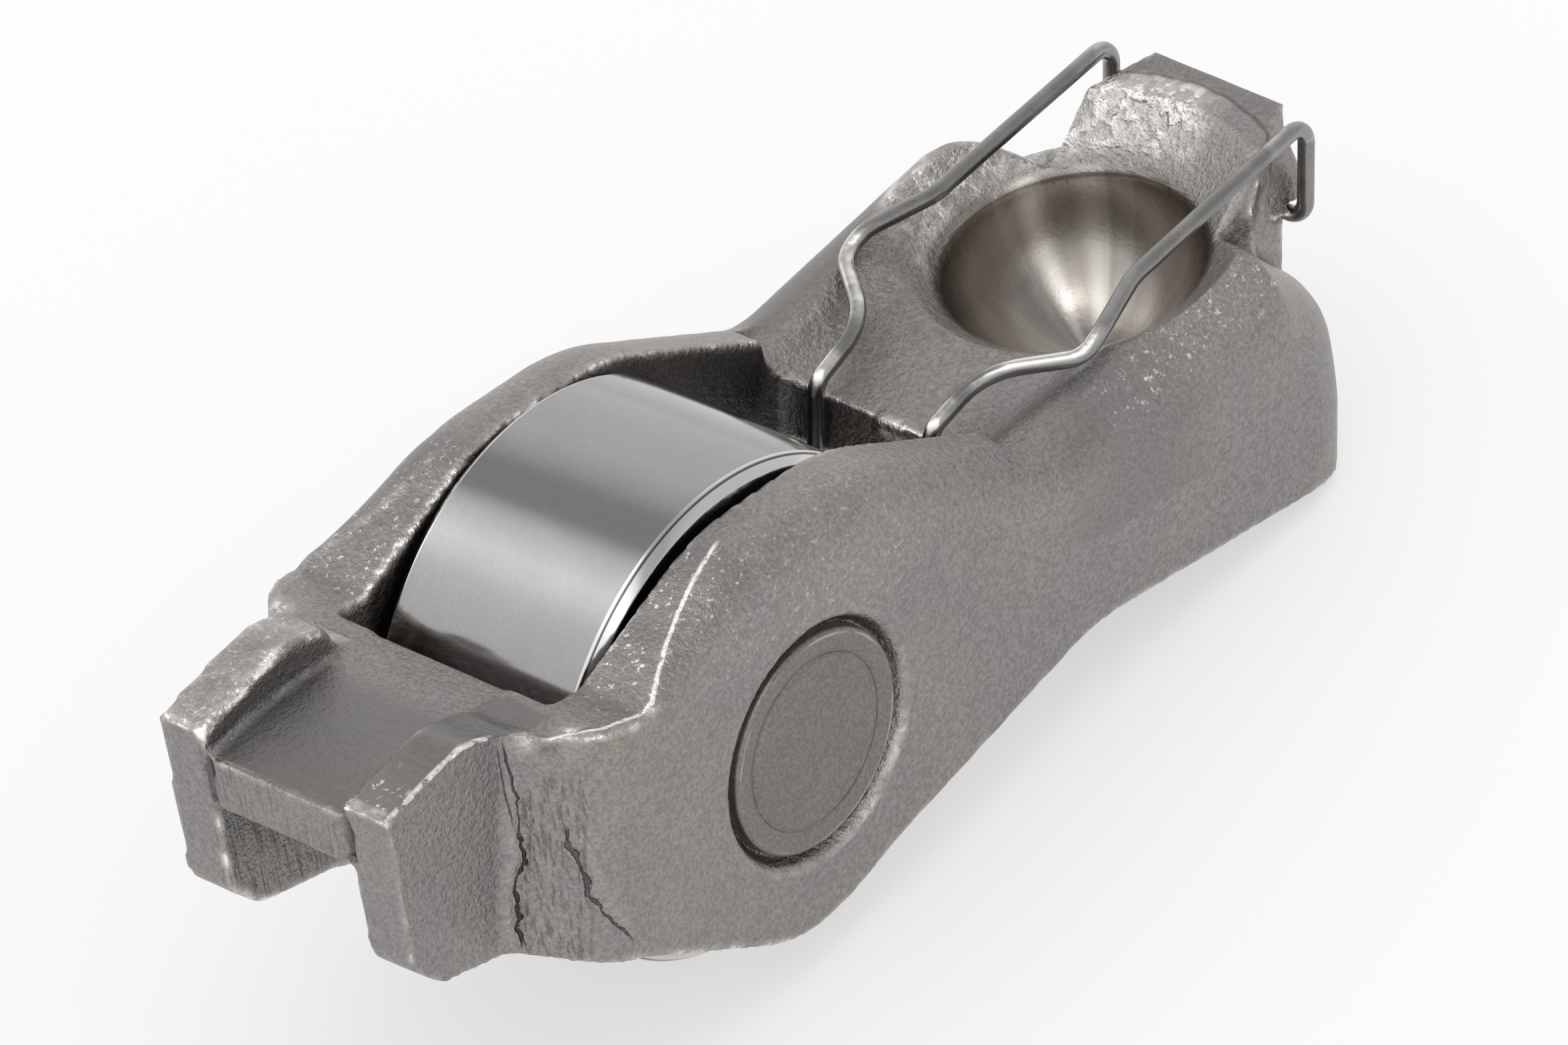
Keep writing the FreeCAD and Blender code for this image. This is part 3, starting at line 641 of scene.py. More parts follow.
class ROCKER_OT_arm_body(bpy.types.Operator):
    """Builds the pressed steel body over its CAD solid"""
    bl_idname = "rocker.arm_body"
    bl_label = "Pressed body"

    def execute(self, context):
        settings = context.scene.rocker_arm
        piece = remeshed("arm_body", "pressed_arm", settings.voxel)
        sculpt = Sculpt(piece.data)
        sculpt.relax(8)
        sculpt.update_normals()
        self.sheared_crest(sculpt)
        self.countersinks(sculpt)
        self.broad_shoulder(sculpt)
        self.valve_flanges(sculpt)
        sculpt.update_normals()
        self.worn_lit_and_shaded_edges(sculpt)
        self.tool_faces_with_light_and_shade(sculpt)
        self.folds(sculpt)
        self.small_faults(sculpt)
        sculpt.finish()
        thinned(piece, settings.triangles)
        piece.data.materials.append(self.steel(settings))
        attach(piece, "arm")
        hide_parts("arm_body")
        return {"FINISHED"}

    def sheared_crest(self, sculpt):
        """The rolled outer edge of both walls turns into a sharp sheared one towards the valve pad."""
        x, y, z = sculpt.points.T
        tight = np.interp(x, [-8.5, -7.4, -6.4, -5.3, -3.7, -2.6], [0.2, 0.8, 1.25, 1.65, 2.05, WALL_ROUND])
        on_slope = x < SLOPE_END
        arc = np.maximum(np.hypot(x - HUMP[0], z - HUMP[1]), 1e-6)
        way_x = np.where(on_slope, SLOPE_WAY[0], (x - HUMP[0]) / arc)
        way_z = np.where(on_slope, SLOPE_WAY[1], (z - HUMP[1]) / arc)
        slope_top = SLOPE_FOOT[1] + SLOPE_RISE * (x - SLOPE_FOOT[0])
        below = np.where(on_slope, (slope_top - z) * SLOPE_WAY[1], HUMP_RADIUS - arc)
        inward = HALF_WIDTH - np.abs(y)
        across, upward = WALL_ROUND - inward, WALL_ROUND - below
        reach = np.maximum(np.hypot(across, upward), 1e-6)
        chosen = (across > 0.02) & (upward > 0.02) & (x > -9.05) & (x < -2.6) & (z > 2.0)
        across, upward, off = across / reach, upward / reach, WALL_ROUND - tight
        under_root = np.maximum(off**2 * (across + upward) ** 2 - 2 * off**2 + tight**2, 0)
        on_arc = off * (across + upward) + np.sqrt(under_root)
        on_face = WALL_ROUND / np.maximum(np.maximum(across, upward), 1e-6)
        wanted = np.where(np.minimum(across, upward) * on_face < off, on_face, on_arc)
        move = np.where(chosen, wanted - reach, 0.0)
        sculpt.points[:, 1] += np.sign(y) * across * move
        sculpt.points[:, 0] += way_x * upward * move
        sculpt.points[:, 2] += way_z * upward * move
        sculpt.relax(2, band(x, -9.3, -2.8, 0.3) * (z > 2.0) * (np.abs(y) > 5.2))

    def countersinks(self, sculpt):
        """The groove that the staking leaves around both ends of the pin."""
        x, y, z = sculpt.points.T
        radius = np.hypot(x, z)
        floor = HALF_WIDTH - 0.62 * smooth_step(4.78 - radius, 0.0, 0.5)
        deep = (radius < 4.8) & (radius > 3.6) & (np.abs(y) > floor)
        sculpt.points[:, 1] = np.where(deep, np.sign(y) * floor, y)

    def broad_shoulder(self, sculpt):
        """One shoulder of the socket falls in one broad round, and the stern's corners lean in."""
        x, y, z = sculpt.points.T
        broad = 4.0
        inward, depth = HALF_WIDTH + y, (rim_height(x) - z) * RIM_TURN[0]
        gap = np.hypot(inward - broad, depth - broad)
        outside = (inward < broad) & (depth < broad) & (gap > broad) & (y < -3.9)
        pull = np.where(outside, 1 - broad / np.maximum(gap, 1e-6), 0.0)
        pull *= smooth_step(x, 14.5, 18.5) * (1 - smooth_step(x, 28.8, 30.2))
        sculpt.points[:, 1] += (broad - inward) * pull
        sculpt.points[:, 2] -= (broad - depth) * pull
        lean = smooth_step(z, 0.3, 5.8) * smooth_step(x, 24.0, 29.0) * smooth_step(np.abs(y), 3.9, 6.5)
        sculpt.points[:, 1] -= np.sign(y) * 0.55 * lean
        sculpt.points[:, 0] -= 0.3 * lean
        sculpt.relax(8, band(x, 15.0, 29.5, 1.0) * smooth_step(np.abs(y), 3.6, 4.4) * (z > 1.5))
        lip_side = 3.88
        taper = np.interp(x, [28.4, 31.0], [3.9, 2.95])
        filled = (x > 28.2) * (z > 6.6) * (1 - smooth_step(z, 7.2, 9.6))
        filled = filled * smooth_step(np.abs(y) / taper, 0.5, 0.95)
        sculpt.points[:, 1] += np.sign(y) * (lip_side - taper) * filled * (taper < lip_side)

    def valve_flanges(self, sculpt):
        """One flange stands lower above the pad and runs out behind it; both tops are uneven."""
        x, y, z = sculpt.points.T
        foot, middle, half_length, crown = -19.3, -14.85, 4.45, 0.4
        pad = 3.7 + 0.129 * (x - foot) + crown * (1 - ((x - middle) / half_length) ** 2)
        above = np.maximum(z - pad, 0) * (x < -9.5)
        near = 1 - smooth_step(y, -3.15, -2.9)
        low = near * (0.42 + 0.35 * smooth_step(x, -15.5, -12.4)) * (1 - smooth_step(x, -11.8, -10.4))
        sculpt.points[:, 2] -= above * low
        sculpt.points[:, 2] += lattice_noise(sculpt.points, 1.4, 21) * 0.05 * smooth_step(above, 0.3, 0.8)

    def worn_lit_and_shaded_edges(self, sculpt):
        """Edges with wear, also painted lighter as highlight, where the surface bends sharply outwards;
        painted shade where it bends sharply inwards.
        """
        flat = sculpt.averaged(sculpt.averaged(sculpt.points)) - sculpt.points
        sharp = sculpt.averaged(-np.einsum("ij,ij->i", flat, sculpt.normals))
        x, y, z = sculpt.points.T
        flange_edges = (x < -12.6) & (z > 3.0) & (np.abs(y) > 3.0)
        web_edge = (x > 10.8) & (x < 13.4) & (z > 3.3)
        window_edge = (y > 4.6) & (y < 5.5) & (x > -9.5) & (x < -3.5)
        keen = flange_edges | web_edge | window_edge
        worn = np.maximum(smooth_step(sharp, 0.014, 0.045), smooth_step(sharp, 0.018, 0.032) * keen)
        around_pin = band(np.hypot(x, z), 4.3, 5.1, 0.1) * (np.abs(y) > 7.2)
        worn = worn * (1 - 0.75 * around_pin * smooth_step(z - x, -3.5, -1.5))
        patchy = lattice_noise(sculpt.points, 0.8, 3) + 0.5 * lattice_noise(sculpt.points, 0.3, 4)
        # Edges with wear, which the steel also paints lighter as highlight and glints.
        sculpt.paint("worn", worn * (0.25 + 0.75 * smooth_step(patchy, -0.5, 0.5)))
        # Painted shade in creases, where the surface bends sharply inwards.
        sculpt.paint("grimy", smooth_step(-sharp, 0.008, 0.04) * 0.8)

    def tool_faces_with_light_and_shade(self, sculpt):
        """Faces left by the tools: flange tops, sheared pad edge, hammered flare and lapped bowl. The flare
        and flange tops are also painted lighter as highlight; painted sparkles, the bowl's mask for its
        painted reflection, and painted shade on the pad, the inner walls and other broad areas.
        """
        x, y, z = sculpt.points.T
        lengthwise, sideways, up = sculpt.normals.T
        patchy = smooth_step(lattice_noise(sculpt.points, 1.1, 8), -0.6, 0.5)
        rim = rim_height(x)
        radius = np.hypot(x - SOCKET[0], y)
        hollow = np.linalg.norm(sculpt.points - np.array(SOCKET), axis=1)

        flange_top = band(np.abs(y), 3.3, 4.95, 0.2) * (x < -11.5) * smooth_step(up, 0.75, 0.92) * (z > 4.0)
        near_top = (y < -2.9) * (y > -5.2) * (x < -11.0) * (up > 0.6) * (z > 3.9)
        crest_face = band(np.abs(y), 4.9, 7.4, 0.2) * band(x, -9.0, -3.5, 1.2)
        crest_face *= smooth_step(up, 0.5, 0.8) * (z > 4.5)
        sheared = smooth_step(-lengthwise, 0.5, 0.8) * (np.abs(y) < 3.4) * (x < -15) * (z < 4.3)
        pad = (np.abs(y) < FLANGE_INSIDE) * band(x, -18.9, -14.0, 1.6) * (z > 3.0) * smooth_step(up, 0.7, 0.9)
        flare = smooth_step(radius, 4.9, 5.4) * (1 - smooth_step(radius, 7.0, 7.4)) * (z > 5.0)
        flare *= (z > rim - 2.4)
        # Only the far, upward half of the flare is painted lighter, as painted highlight where it faces the
        # light.
        far_half = smooth_step(up, 0.2, 0.5) * smooth_step(y + 0.3 * (x - SOCKET[0]), 0.0, 2.5)
        flare *= far_half * smooth_step(x, 19.3, 21.0)
        bowl = (1 - smooth_step(hollow, 4.78, 5.1)) * (z > 0.5)
        far_slope = smooth_step(y, 5.0, 6.2) * band(x, 13.5, 20.0, 1.5) * smooth_step(up, 0.3, 0.6)
        # The inner faces of the walls get painted shade.
        inside = (1 - smooth_step(np.abs(y), WALL_INSIDE, 5.3)) * band(x, -8.5, 12.6, 0.5)
        inside *= np.abs(sideways) > 0.7

        rough = np.maximum(np.maximum(flange_top * 0.8, flare), sheared)
        pits = lattice_noise(sculpt.points, 0.45, 11) * 0.6 + lattice_noise(sculpt.points, 0.9, 12) * 0.6
        sculpt.push(rough * pits * 0.04)
        sculpt.push(lattice_noise(sculpt.points, 0.7, 14) * 0.01 * (1 - bowl) * (1 - pad))
        shoulder = smooth_step(-y, 5.4, 6.4) * (1 - smooth_step(-y, 7.3, 7.8)) * band(x, 17.5, 27.0, 2.0)
        shoulder *= smooth_step(z - rim, -2.8, -1.6)
        sculpt.push(shoulder * lattice_noise(sculpt.points, 0.38, 16) * 0.03)

        beyond = (radius > 7.3) * (x > 22.0) * (z > 7.6) * smooth_step(up, 0.6, 0.8)
        broad = smooth_step(-y, 4.5, 5.5) * band(x, 14.5, 20.0, 1.5) * (z > 1.5)
        peened = band(x, -5.0, 4.0, 3.0) * smooth_step(np.abs(y), 5.4, 6.6) * smooth_step(z, 3.0, 5.5)
        lip = (x < -18.85) * (y < -3.2) * smooth_step(z, 4.1, 4.3)
        blank = near_top * smooth_step(x, -17.6, -16.6)
        # Struck faces painted lighter as highlight, painted sparkles, and painted shade on the inner walls,
        # the near flange top, far slope, pad, tab beyond the rim, crest faces and broad shoulder.
        for name, amount in (
                ("coined", flare * (0.45 + 0.55 * patchy)),
                ("coined", flange_top * (0.1 + 0.3 * patchy) * (1 - near_top)),
                ("spotted", np.maximum(flange_top, crest_face) * (0.4 + 0.6 * patchy) * (1 - blank)),
                ("spotted", shoulder * 0.7), ("spotted", peened * 0.3), ("worn", lip * 0.6),
                ("sheared", sheared), ("polished", bowl), ("grimy", inside * 0.95),
                ("dull", near_top), ("dull", far_slope * 0.9), ("dull", pad), ("dull", beyond * 0.45),
                ("dull", crest_face * 0.75), ("dull", broad * 0.4)):
            sculpt.paint(name, amount)

    def folds(self, sculpt):
        """Laps and cracks where the flanges flare out into the walls, deeper on the one side."""
        lap, second = ([(x, z) for z, x in line] for line in (LAP[:6], SECOND_LAP))
        for side, depth in ((-1, 1.0), (1, 0.6)):
            for line, ridge, widths, heights, seeds in (
                    (lap, -0.3, (0.14, 0.2), (-0.13, 0.09), (5, 7)),
                    (second, 0.3, (0.12, 0.22), (-0.08, 0.07), (9, 10))):
                sculpt.stroke(line, widths[0], heights[0] * depth, side=side, ragged=0.06, seed=seeds[0],
                              taper=0.03)
                beside = [(x + ridge, z) for x, z in line]
                sculpt.stroke(beside, widths[1], heights[1] * depth, {"worn": 0.15}, side, 0.1, seeds[1])
            x, y, z = sculpt.points.T
            between = (y * side > 5.2) * band(x, -12.6, -11.3, 0.35) * (1 - smooth_step(z, 2.6, 4.4))
            scratches = lattice_noise(sculpt.points * np.array([1, 1, 0.12]), 0.2, 15)
            sculpt.push(between * scratches * 0.02)
            sculpt.paint("scraped", between)

    def small_faults(self, sculpt):
        """Burrs at the flare's upper corners, painted shade in the corners under the pad's edge, and the
        web's torn edge.
        """
        for side, height in ((-1, 1.0), (1, 0.6)):
            crease = [(x, side * y, z) for (x, y), z in zip(CREASE, CREASE_HEIGHTS)]
            sculpt.stroke(crease, 0.13, 0.06, {"worn": 0.3}, ragged=0.1, seed=30, taper=0.1)
            # Burrs with wear and a painted highlight on them.
            sculpt.lump((-11.4, side * 6.55, 5.0), 0.5, 0.13 * height, {"worn": 0.9}, 31)
            sculpt.lump((-12.6, side * 5.6, 4.85), 0.42, 0.12 * height, {"worn": 0.8}, 32)
            # Painted shade in a dent by the burrs, in the corners under the pad's edge and in the slit beside
            # the notch.
            sculpt.lump((-12.0, side * 6.1, 4.6), 0.3, -0.2 * height, {"grimy": 0.8}, 33)
            crevice = [(-19.12, side * 3.1, 3.8), (-18.93, side * 3.14, 2.8), (-18.72, side * 3.1, 1.75)]
            sculpt.stroke(crevice, 0.14, -0.28, {"grimy": 1.0}, ragged=0.08, seed=34, taper=0.05)
            corner = [(-19.2, side * 3.12, 4.0), (-15.0, side * 3.12, 4.75), (-12.5, side * 3.12, 4.9)]
            sculpt.stroke(corner, 0.12, -0.04, {"grimy": 0.35}, ragged=0.05, seed=35)
            # A painted highlight along the notch's edge.
            glint = [(28.5, side * 3.95, 8.6), (28.1, side * 3.95, 7.9), (27.8, side * 3.95, 7.1)]
            sculpt.stroke(glint, 0.14, 0.05, {"worn": 1.0}, ragged=0.08, seed=37)
            slit = [(28.8, side * 3.9, 8.2), (28.4, side * 3.95, 7.4), (28.3, side * 4.0, 6.8)]
            sculpt.stroke(slit, 0.16, -0.1, {"grimy": 0.9}, ragged=0.08, seed=38)
        tongue = [(12.75, -1.1, 4.1), (12.75, -0.6, 4.2), (12.75, 0.2, 4.1)]
        sculpt.stroke(tongue, 0.35, 0.3, {"worn": 0.6}, ragged=0.1, seed=36)
        x, y, z = sculpt.points.T
        under_pad = (np.abs(y) < 3.3) & (np.abs(sculpt.normals[:, 1]) > 0.7) & (x < -13.0) & (z < 2.6)
        sculpt.paint("scraped", under_pad)

    def drawn_lines(self, shader, own, bend, jag):
        """Cracks beside the flanges, painted highlight lines along the creases and the lower flange's top
        edge, and the dark arc behind the socket, as numbers.
        """
        x, y, z = own
        cracks = functools.reduce(Maths.most, (
            shader.thin_line(z, x + (bend - 0.5) * wander, line, width) * darkness
            for line, width, wander, darkness in CRACKS))
        cracks = cracks * ((abs(y) - FLANGE_OUTSIDE) * 8.0).clamped()
        # Painted highlight lines along the creases of the walls and the lower flange's top edge.
        crease = shader.thin_line(x, abs(y) + (jag - 0.5) * 0.16, CREASE, 0.12)
        crease = crease * ((z - 4.6) * 5.0).clamped() * jag.ramp(0.3, 0.45) * (y * -4.0).clamped()
        brink = shader.thin_line(x, z + (jag - 0.5) * 0.12, FLANGE_EDGE, 0.075)
        brink = brink * ((y + 4.86) * -12.0).clamped() * jag.ramp(0.4, 0.5) * 0.8
        around = ((x - SOCKET[0]) ** 2.0 + y * y) ** 0.5
        arc = 1.0 - abs(around + (bend - 0.5) * 0.3 - 7.25).ramp(0.03, 0.11)
        return cracks, crease.most(brink), arc * (z - 7.6).clamped() * (x - 22.0).clamped()

    def steel(self, settings):
        """Satin pressed steel with a peened grain and warm and cool clouds; edges with wear and tool-struck
        faces, also painted lighter as highlight; painted sparkles and glints, painted shade in recesses and
        over broad areas, and a painted reflection in the bowl.
        """
        material, shader, place = new_metal("satin pressed steel")
        own = arm_place(shader, place)
        drift = shader.noise(place, 85.0, 2.0)
        clouds = shader.noise(place, 170.0, 3.0)
        bend = shader.noise(place, 900.0, 4.0, 0.6)
        # Pools of near-white on the struck flare: painted highlight.
        pools = shader.noise(place, 1700.0, 2.0, 0.5).ramp(0.42, 0.66)
        jag = shader.noise(place, 2400.0, 4.0, 0.65)
        peen = shader.noise(place, 2900.0, 2.0, 0.5)
        # Spots for the painted sparkle highlights.
        spots = shader.noise(place, 4300.0, 3.0, 0.6).ramp(0.6, 0.68)
        grain = shader.noise(place, 6500.0, 3.0, 0.6)
        specks = shader.noise(place, 13000.0, 2.0, 0.6)
        scratch = shader.noise(shader.stretched(place, (6500.0, 6500.0, 420.0)), 1.0, 2.0)
        cracks, crease, arc = self.drawn_lines(shader, own, bend, jag)
        worn, coined, spotted, grimy, sheared, polished, dull, scraped = map(shader.attribute, MARKS)

        warm = tuple(settings.steel)
        cool = (warm[0] * 0.915, warm[1] * 0.962, warm[2] * 1.02)
        tone = shader.mix_colour((clouds * 0.6 + drift * 0.4).ramp(0.4, 0.58), warm, cool)
        lively = shader.mix_colour(grain.ramp(0.32, 0.68), (0.81, 0.81, 0.81), (1.17, 1.17, 1.17))
        tone = shader.mix_colour(1.0, tone, lively, "MULTIPLY")
        # Edges with wear and struck faces painted lighter: partly their finish, partly painted highlight; a
        # little of the painted sparkles too.
        bright = (worn * (0.45 + jag.ramp(0.4, 0.6) * 0.7) + coined * (0.45 + peen.ramp(0.35, 0.7) * 0.25)
                  + spotted * 0.1).clamped()
        # Painted highlights: sparkles, the crease and flange edge lines, near-white pools on the struck flare
        # and glints on edges with wear.
        glints = (spotted * spots * 0.8 + crease + coined * pools * 0.62
                  + worn.ramp(0.55, 0.95) * jag.ramp(0.4, 0.52)).clamped()
        tone = shader.layered(
            tone,
            (peen.ramp(0.6, 0.72) * specks.ramp(0.42, 0.6) * 0.6, scaled(warm, 0.5)),
            ((1.0 - peen.ramp(0.24, 0.36)) * 0.35, scaled(warm, 1.5)),
            # Painted shade over broad areas: the pad, the near flange top, the far slope, the tab, the crest
            # faces and a broad shoulder.
            ((dull * 0.8).clamped(), scaled(cool, 0.66)),
            ((sheared * scratch.ramp(0.5, 0.7) * 0.6).clamped(), scaled(warm, 0.4)),
            ((scraped * scratch.ramp(0.5, 0.62) * 0.55).clamped(), scaled(warm, 0.35)),
            (bright, tuple(settings.worn)),
            (glints, GLINT),
            # A painted reflection of light streaks in the bowl.
            (polished, self.painted_bowl_reflection(shader, own)),
            # Painted shade in recesses and creases, laid on with the dark cracks and the dark arc.
            ((grimy * 0.75 + cracks * 0.9 + arc * 0.45).clamped(), scaled(warm, 0.12)))

        roughness = 0.38 + (clouds - 0.5) * 0.12 + (grain - 0.5) * 0.2 + sheared * 0.06
        roughness = roughness - worn * 0.14 - coined * 0.1 - glints * 0.08 - polished * 0.13
        height = peen * 1.6 + grain * 1.1 + specks * 0.3 + coined * (pools * 1.6 + peen * 2.0)
        height = height + spotted * jag * 2.0 + scraped * scratch + sheared * scratch * 2.0 - cracks * 2.5
        # The bowl and the painted broad shade's mask have softer bumps.
        height = height * (1.0 - polished * 0.93) * (1.0 - dull * 0.4)
        finish_metal(shader, tone, roughness.clamped(), height, 0.7, 0.00006)
        return material

    def painted_bowl_reflection(self, shader, own):
        """Colour of the lapped bowl, a painted reflection: streaks that run from its rim to its bottom."""
        x, y, z = own
        along = (x - SOCKET[0]) * RIM_TURN[0] + (z - SOCKET[2]) * RIM_TURN[1]
        turn = y.angle(along) * (180 / math.pi)
        ring = shader.node("ShaderNodeCombineXYZ", {}, {"X": turn * 0.12, "Y": 0.3, "Z": 0.7})
        streaks = shader.noise(ring.socket("Vector"), 1.0, 3.0, 0.6)
        first, second = (1.0 - (abs(turn - middle) / width).clamped().ramp(0.0, 1.0)
                         for middle, width in ((33, 11), (60, 10)))
        light = (first * 0.72 + second * 0.85 + streaks.ramp(0.5, 0.72) * 0.2).clamped()
        return shader.mix_colour(light, BOWL_REFLECTION_DARK, BOWL_REFLECTION_BRIGHT)


class ROCKER_OT_roller(bpy.types.Operator):
    """Builds the ground roller with rounded edges"""
    bl_idname = "rocker.roller"
    bl_label = "Roller"

    def execute(self, context):
        settings = context.scene.rocker_roller
        low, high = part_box("roller_ring")
        half = (high.y - low.y) / 2 / MM
        outer = (high.z - low.z) / 2 / MM
        edge = settings.edge / MM
        soft, inner_edge = 0.14, 0.25
        inner = ROLLER_BORE + inner_edge
        low_edge = (rounded_corner((outer - edge, -half + soft), soft, -90, -45, 4)
                    + rounded_corner((outer - soft, -half + edge), soft, -45, 0, 4))
        profile = (low_edge + [(r, -y) for r, y in reversed(low_edge)]
                   + rounded_corner((inner, half - inner_edge), inner_edge, 90, 180, 5)
                   + rounded_corner((inner, -half + inner_edge), inner_edge, 180, 270, 5))
        piece = lathe("ground_roller", profile, settings.turns)
        piece.data.materials.append(self.ground_steel(settings))
        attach(piece, "roller")
        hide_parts("roller_ring")
        return {"FINISHED"}

    def ground_steel(self, settings):
        """Ground steel: very fine lines around the roller, faint darker, rougher clouds, and bevels painted
        lighter as highlight, with a dark line drawn along them.
        """
        material, shader, place = new_metal("ground bearing steel")
        colour = tuple(settings.ground)
        lines = shader.noise(shader.stretched(place, (40.0, 14000.0, 40.0)), 1.0, 2.0, 0.6)
        clouds = shader.noise(place, 420.0, 4.0, 0.6)
        specks = shader.noise(place, 6500.0, 2.0)
        from_middle = abs(arm_place(shader, place)[1])
        tone = shader.mix_colour(lines.ramp(0.35, 0.7) * 0.2, colour, scaled(colour, 0.9))
        tone = shader.mix_colour(specks.ramp(0.4, 0.6), scaled(colour, 0.94), tone)
        tone = shader.layered(
            tone,
            (specks.ramp(0.62, 0.74) * 0.4, scaled(colour, 0.65)),
            (clouds.ramp(0.45, 0.65) * 0.5, scaled(colour, 0.9)),
            # Painted highlight on the bevels, then a dark line drawn along them.
            (from_middle.ramp(4.04, 4.08), scaled(colour, 1.9)),
            (1.0 - abs(from_middle - BEVEL_LINE).ramp(0.015, 0.045), scaled(colour, 0.35)))
        roughness = (0.13 + (clouds - 0.5) * 0.1 + (lines - 0.5) * 0.03).clamped()
        finish_metal(shader, tone, roughness, lines + clouds, 0.05)
        return material


class ROCKER_OT_axle_pin(bpy.types.Operator):
    """Builds the staked pin with its ring marks"""
    bl_idname = "rocker.axle_pin"
    bl_label = "Axle pin"

    def execute(self, context):
        settings = context.scene.rocker_roller
        low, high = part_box("axle_pin")
        half = (high.y - low.y) / 2 / MM
        flat = half - 0.02
        ring, groove, edge = PIN_RING, 0.12, 0.18
        top = [(r, half) for r in (0.01, 0.05, 0.4, ring - groove * 2.4, ring - groove * 1.6)]
        top += [(ring - groove, half - 0.03), (ring, half - groove), (ring + groove, half - 0.05)]
        top += [(r, flat) for r in (ring + groove * 2.0, ring + groove * 3.0, PIN_RADIUS - edge * 1.6)]
        top += rounded_corner((PIN_RADIUS - edge, flat - edge), edge, 80, 0, 5)
        piece = lathe("staked_pin", top + [(r, -y) for r, y in reversed(top)], settings.turns)
        piece.data.materials.append(self.pin_steel(settings))
        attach(piece, "arm")
        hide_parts("axle_pin")
        return {"FINISHED"}

    def pin_steel(self, settings):
        """Matt grey steel with a fine even grain, painted shade in its punched ring and a painted highlight
        along its edge.
        """
        material, shader, place = new_metal("matt pin steel")
        colour = tuple(settings.pin)
        grain = shader.noise(place, 7000.0, 2.0, 0.6)
        clouds = shader.noise(place, 420.0, 3.0)
        x, y, z = arm_place(shader, place)
        radius = (x * x + z * z) ** 0.5
        ring = 1.0 - abs(radius - PIN_RING + (clouds - 0.5) * 0.1).ramp(0.02, 0.06)
        edge = 1.0 - abs(radius - PIN_EDGE).ramp(0.02, 0.06)
        tone = shader.mix_colour(grain.ramp(0.35, 0.68), scaled(colour, 0.86), scaled(colour, 1.2))
        tone = shader.layered(
            tone,
            # Painted shade in the punched ring and a painted highlight along the edge, both patchy.
            (ring * clouds.ramp(0.35, 0.6) * 0.6, scaled(colour, 0.35)),
            (edge * clouds.ramp(0.4, 0.6) * 0.6, scaled(colour, 2.6)))
        roughness = (0.46 + (clouds - 0.5) * 0.2 + (grain - 0.5) * 0.1).clamped()
        finish_metal(shader, tone, roughness, grain)
        return material


class ROCKER_OT_needles(bpy.types.Operator):
    """Gives the sixteen needles their lapped steel"""
    bl_idname = "rocker.needles"
    bl_label = "Needles"

    def execute(self, context):
        material, shader, place = new_metal("lapped needle steel")
        lines = shader.noise(shader.stretched(place, (9000.0, 300.0, 9000.0)), 1.0, 2.0)
        tone = shader.mix_colour(lines.ramp(0.35, 0.7) * 0.4, NEEDLE_STEEL, NEEDLE_LINES)
        finish_metal(shader, tone, (0.16 + (lines - 0.5) * 0.1).clamped())
        for name, node in frame["nodes"].items():
            if name.startswith("needle_"):
                node.data.materials.clear()
                node.data.materials.append(material)
        return {"FINISHED"}


class ROCKER_OT_wire_clip(bpy.types.Operator):
    """Builds the bent spring wire"""
    bl_idname = "rocker.wire_clip"
    bl_label = "Wire clip"

    def execute(self, context):
        settings = context.scene.rocker_wire
        piece = remeshed("wire_clip", "spring_wire_clip", settings.voxel)
        sculpt = Sculpt(piece.data)
        sculpt.relax(12)
        sculpt.update_normals()
        x, y, z = sculpt.points.T
        # The bends' upper sides and the far loop are painted lighter: wear from rubbing and painted
        # highlight.
        bends = np.maximum(band(x, 12.2, 13.2, 0.4), band(x, 15.2, 17.6, 0.8))
        far_loop = band(x, 28.5, 31.5, 0.5) * (z > 9.5) * 0.4
        sculpt.paint("rubbed", bends * smooth_step(sculpt.normals[:, 2], 0.2, 0.8) + far_loop)
        sculpt.finish()
        thinned(piece, settings.triangles)
        piece.data.materials.append(self.spring_wire(settings))
        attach(piece, "arm")
        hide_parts("wire_clip")
        return {"FINISHED"}

    def spring_wire(self, settings):
        """Drawn grey wire with faint lighter, rougher clouds, a fine grain, and lighter spots on its bends:
        wear from rubbing and painted highlight.
        """
        material, shader, place = new_metal("drawn spring wire")
        colour = tuple(settings.colour)
        clouds = shader.noise(place, 650.0, 3.0)
        grain = shader.noise(place, 9000.0, 2.0)
        rubbed = shader.attribute("rubbed")
        tone = shader.mix_colour(clouds.ramp(0.4, 0.65) * 0.6, colour, scaled(colour, 1.3))
        bright = (rubbed * (0.35 + clouds.ramp(0.45, 0.6) * 0.65)).clamped()
        tone = shader.layered(
            tone,
            (grain.ramp(0.58, 0.72) * 0.5, scaled(colour, 0.55)),
            (bright, RUBBED_AND_LIT_WIRE))
        roughness = (0.27 + (clouds - 0.5) * 0.15 - rubbed * 0.06).clamped()
        finish_metal(shader, tone, roughness, grain + clouds)
        return material


# Stage

